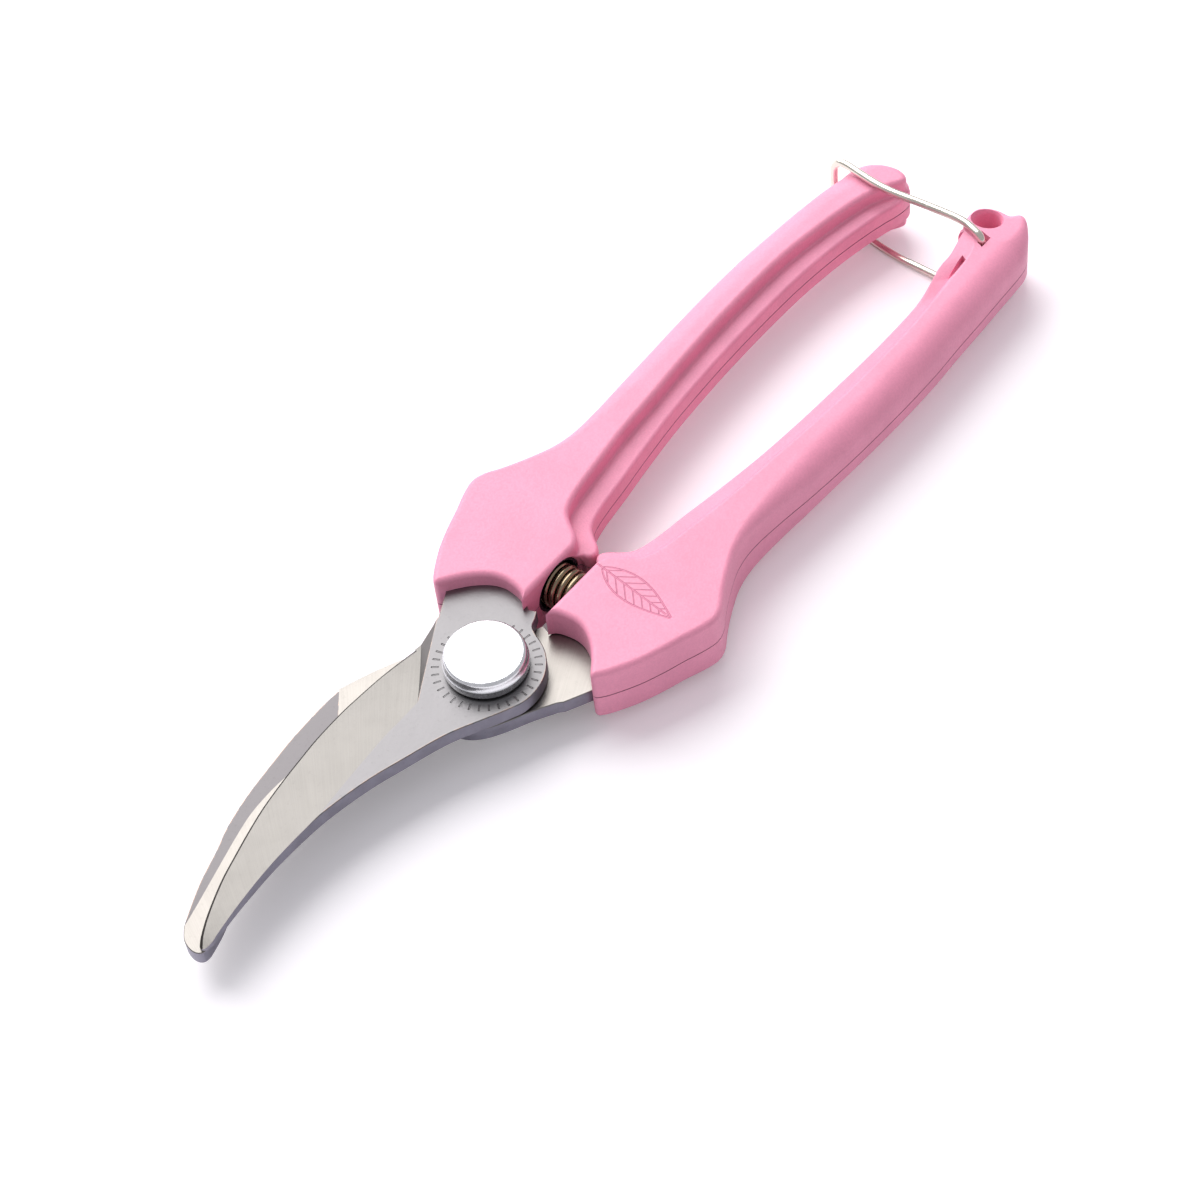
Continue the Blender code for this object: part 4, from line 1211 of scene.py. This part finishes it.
class SHEARS_OT_wire_catch(bpy.types.Operator):
    """Build the wire catch that holds the handles shut"""

    bl_idname = "shears.wire_catch"
    bl_label = "Wire Catch"

    def execute(self, context):
        settings = context.scene.shears_wire
        radius = settings.catch_wire / 2
        leg = drawn_height(CATCH_HIGH[2]) - radius
        reach = (CATCH_LOW[0] - PIVOT_X) / MM + radius
        upper = [(7.6, 0.911), (1.0, 0.908), (-8.5, 0.901), (-17.2, 0.912)]
        lower = [(7.6, 0.888), (1.0, 0.886), (-6.5, 0.888), (-17.2, 0.905)]
        bend = 1.3
        route = []
        for side, places in ((1, upper), (-1, lower)):
            towards = (grip(*places[0]) - HINGE).normalized()
            run = [Vector((HINGE.x, HINGE.y, side * (HALF - 3.4)))]
            for step in range(9):
                angle = math.pi / 2 * step / 8
                out = HINGE + towards * bend * (1 - math.cos(angle))
                run.append(Vector((*out, side * (leg - bend * (1 - math.sin(angle))))))
            legs = [run[-1]] + [Vector((*grip(*spot), side * leg)) for spot in places]
            run += smooth_line(legs, 60)[1:]
            route.append(run)
        y = grip(0, 0.914).y
        corner = [(reach + 1.4, leg - 0.3), (reach + 0.3, leg - 1.6), (reach, leg - 3.5)]
        bridge = [*corner, (reach, 0), *((x, -z) for x, z in reversed(corner))]
        turn = [route[0][-1], *(Vector((x, y, z)) for x, z in bridge), route[1][-1]]
        path = route[0] + smooth_line(turn, 70)[1:-1] + route[1][::-1]
        nickel = material_plated("nickel_wire", tuple(settings.catch_colour), 0.22)
        made = plain_object("wire_catch_bail", tube(path, radius, 18))
        finished(made, "catch", [nickel], ["wire_catch"], sharp=60)
        return {"FINISHED"}


class SHEARS_OT_pins(bpy.types.Operator):
    """Give the hidden tang pins their steel"""

    bl_idname = "shears.pins"
    bl_label = "Tang Pins"

    def execute(self, context):
        steel = material_plated("pin_steel", (0.5, 0.5, 0.5), 0.35)
        for name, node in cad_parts.items():
            if "tang_pin" in name:
                for slot in node.material_slots:
                    slot.material = steel
        return {"FINISHED"}


class SHEARS_OT_stage(bpy.types.Operator):
    """Set up the floor, the lights and the camera"""

    bl_idname = "shears.stage"
    bl_label = "Floor, Lights and Camera"

    def execute(self, context):
        settings = context.scene.shears_stage
        bm = bmesh.new()
        bmesh.ops.create_grid(bm, x_segments=1, y_segments=1, size=2.5)
        floor = plain_object("floor", bm)
        floor.location.z = CAD_BOX[0][2]
        floor.data.materials.append(material_floor(settings))
        self.camera(context)
        self.lights(context, settings)
        context.scene.view_settings.view_transform = "Standard"
        return {"FINISHED"}

    def camera(self, context):
        """A long lens above and to the right of the blades, rolled a little."""
        around, above, roll = (math.radians(a) for a in (44.55, 51.17, -7.39))
        flat = math.cos(above)
        back = Vector((math.sin(around) * flat, -math.cos(around) * flat, math.sin(above)))
        right = Vector((math.cos(around), math.sin(around), 0))
        up = back.cross(right)
        side = math.cos(roll) * right + math.sin(roll) * up
        top = -math.sin(roll) * right + math.cos(roll) * up
        data = bpy.data.cameras.new("camera")
        data.lens = 90
        data.sensor_width = 36
        data.clip_start = 0.02
        camera = bpy.data.objects.new("camera", data)
        context.scene.collection.objects.link(camera)
        place = Matrix((side, top, back)).transposed().to_4x4()
        aim, distance = DRAWING @ Vector((4.83, 22.82, 0.0)), 0.49404
        place.translation = aim + back * distance
        camera.matrix_world = place
        context.scene.camera = camera

    def lights(self, context, settings):
        """A large soft light from the upper left, and an even sky."""
        data = bpy.data.lights.new("key_light", "AREA")
        data.energy = settings.key
        data.size = 1.1
        data.color = (1.0, 0.985, 0.98)
        light = bpy.data.objects.new("key_light", data)
        context.scene.collection.objects.link(light)
        spot = Vector((-0.66, 0.26, 0.70))
        light.location = DRAWING @ Vector((0, 30, 0)) + spot
        light.rotation_euler = (-spot).to_track_quat("-Z", "Y").to_euler()
        world = bpy.data.worlds.new("even_sky")
        world.use_nodes = True
        sky = world.node_tree.nodes["Background"]
        sky.inputs["Color"].default_value = (0.95, 0.95, 1.0, 1)
        sky.inputs["Strength"].default_value = settings.sky
        context.scene.world = world


# ---- panel


class SHEARS_PT_sidebar(bpy.types.Panel):
    """Builds the shears piece by piece"""

    bl_idname = "SHEARS_PT_sidebar"
    bl_label = "Pruning Shears"
    bl_space_type = "VIEW_3D"
    bl_region_type = "UI"
    bl_category = "Shears"

    def draw(self, context):
        for operator in OPERATORS:
            self.layout.operator(operator.bl_idname)
        for name, group in SETTINGS.items():
            box = self.layout.box()
            box.label(text=group.__doc__)
            for key in group.__annotations__:
                box.prop(getattr(context.scene, name), key)


OPERATORS = (
    SHEARS_OT_groups,
    SHEARS_OT_handles,
    SHEARS_OT_cutting_blade,
    SHEARS_OT_counter_blade,
    SHEARS_OT_pivot,
    SHEARS_OT_spring,
    SHEARS_OT_wire_catch,
    SHEARS_OT_pins,
    SHEARS_OT_stage,
)
SETTINGS = {
    "shears_handles": ShearsHandleSettings,
    "shears_steel": ShearsSteelSettings,
    "shears_wire": ShearsWireSettings,
    "shears_stage": ShearsStageSettings,
}


def register():
    for name, group in SETTINGS.items():
        bpy.utils.register_class(group)
        setattr(bpy.types.Scene, name, bpy.props.PointerProperty(type=group))
    for operator in OPERATORS:
        bpy.utils.register_class(operator)
    bpy.utils.register_class(SHEARS_PT_sidebar)


def unregister():
    bpy.utils.unregister_class(SHEARS_PT_sidebar)
    for operator in reversed(OPERATORS):
        bpy.utils.unregister_class(operator)
    for name, group in SETTINGS.items():
        delattr(bpy.types.Scene, name)
        bpy.utils.unregister_class(group)


def main():
    register()
    bpy.ops.shears.groups()
    bpy.ops.shears.handles()
    bpy.ops.shears.cutting_blade()
    bpy.ops.shears.counter_blade()
    bpy.ops.shears.pivot()
    bpy.ops.shears.spring()
    bpy.ops.shears.wire_catch()
    bpy.ops.shears.pins()
    bpy.ops.shears.stage()


if __name__ == "__main__":
    main()
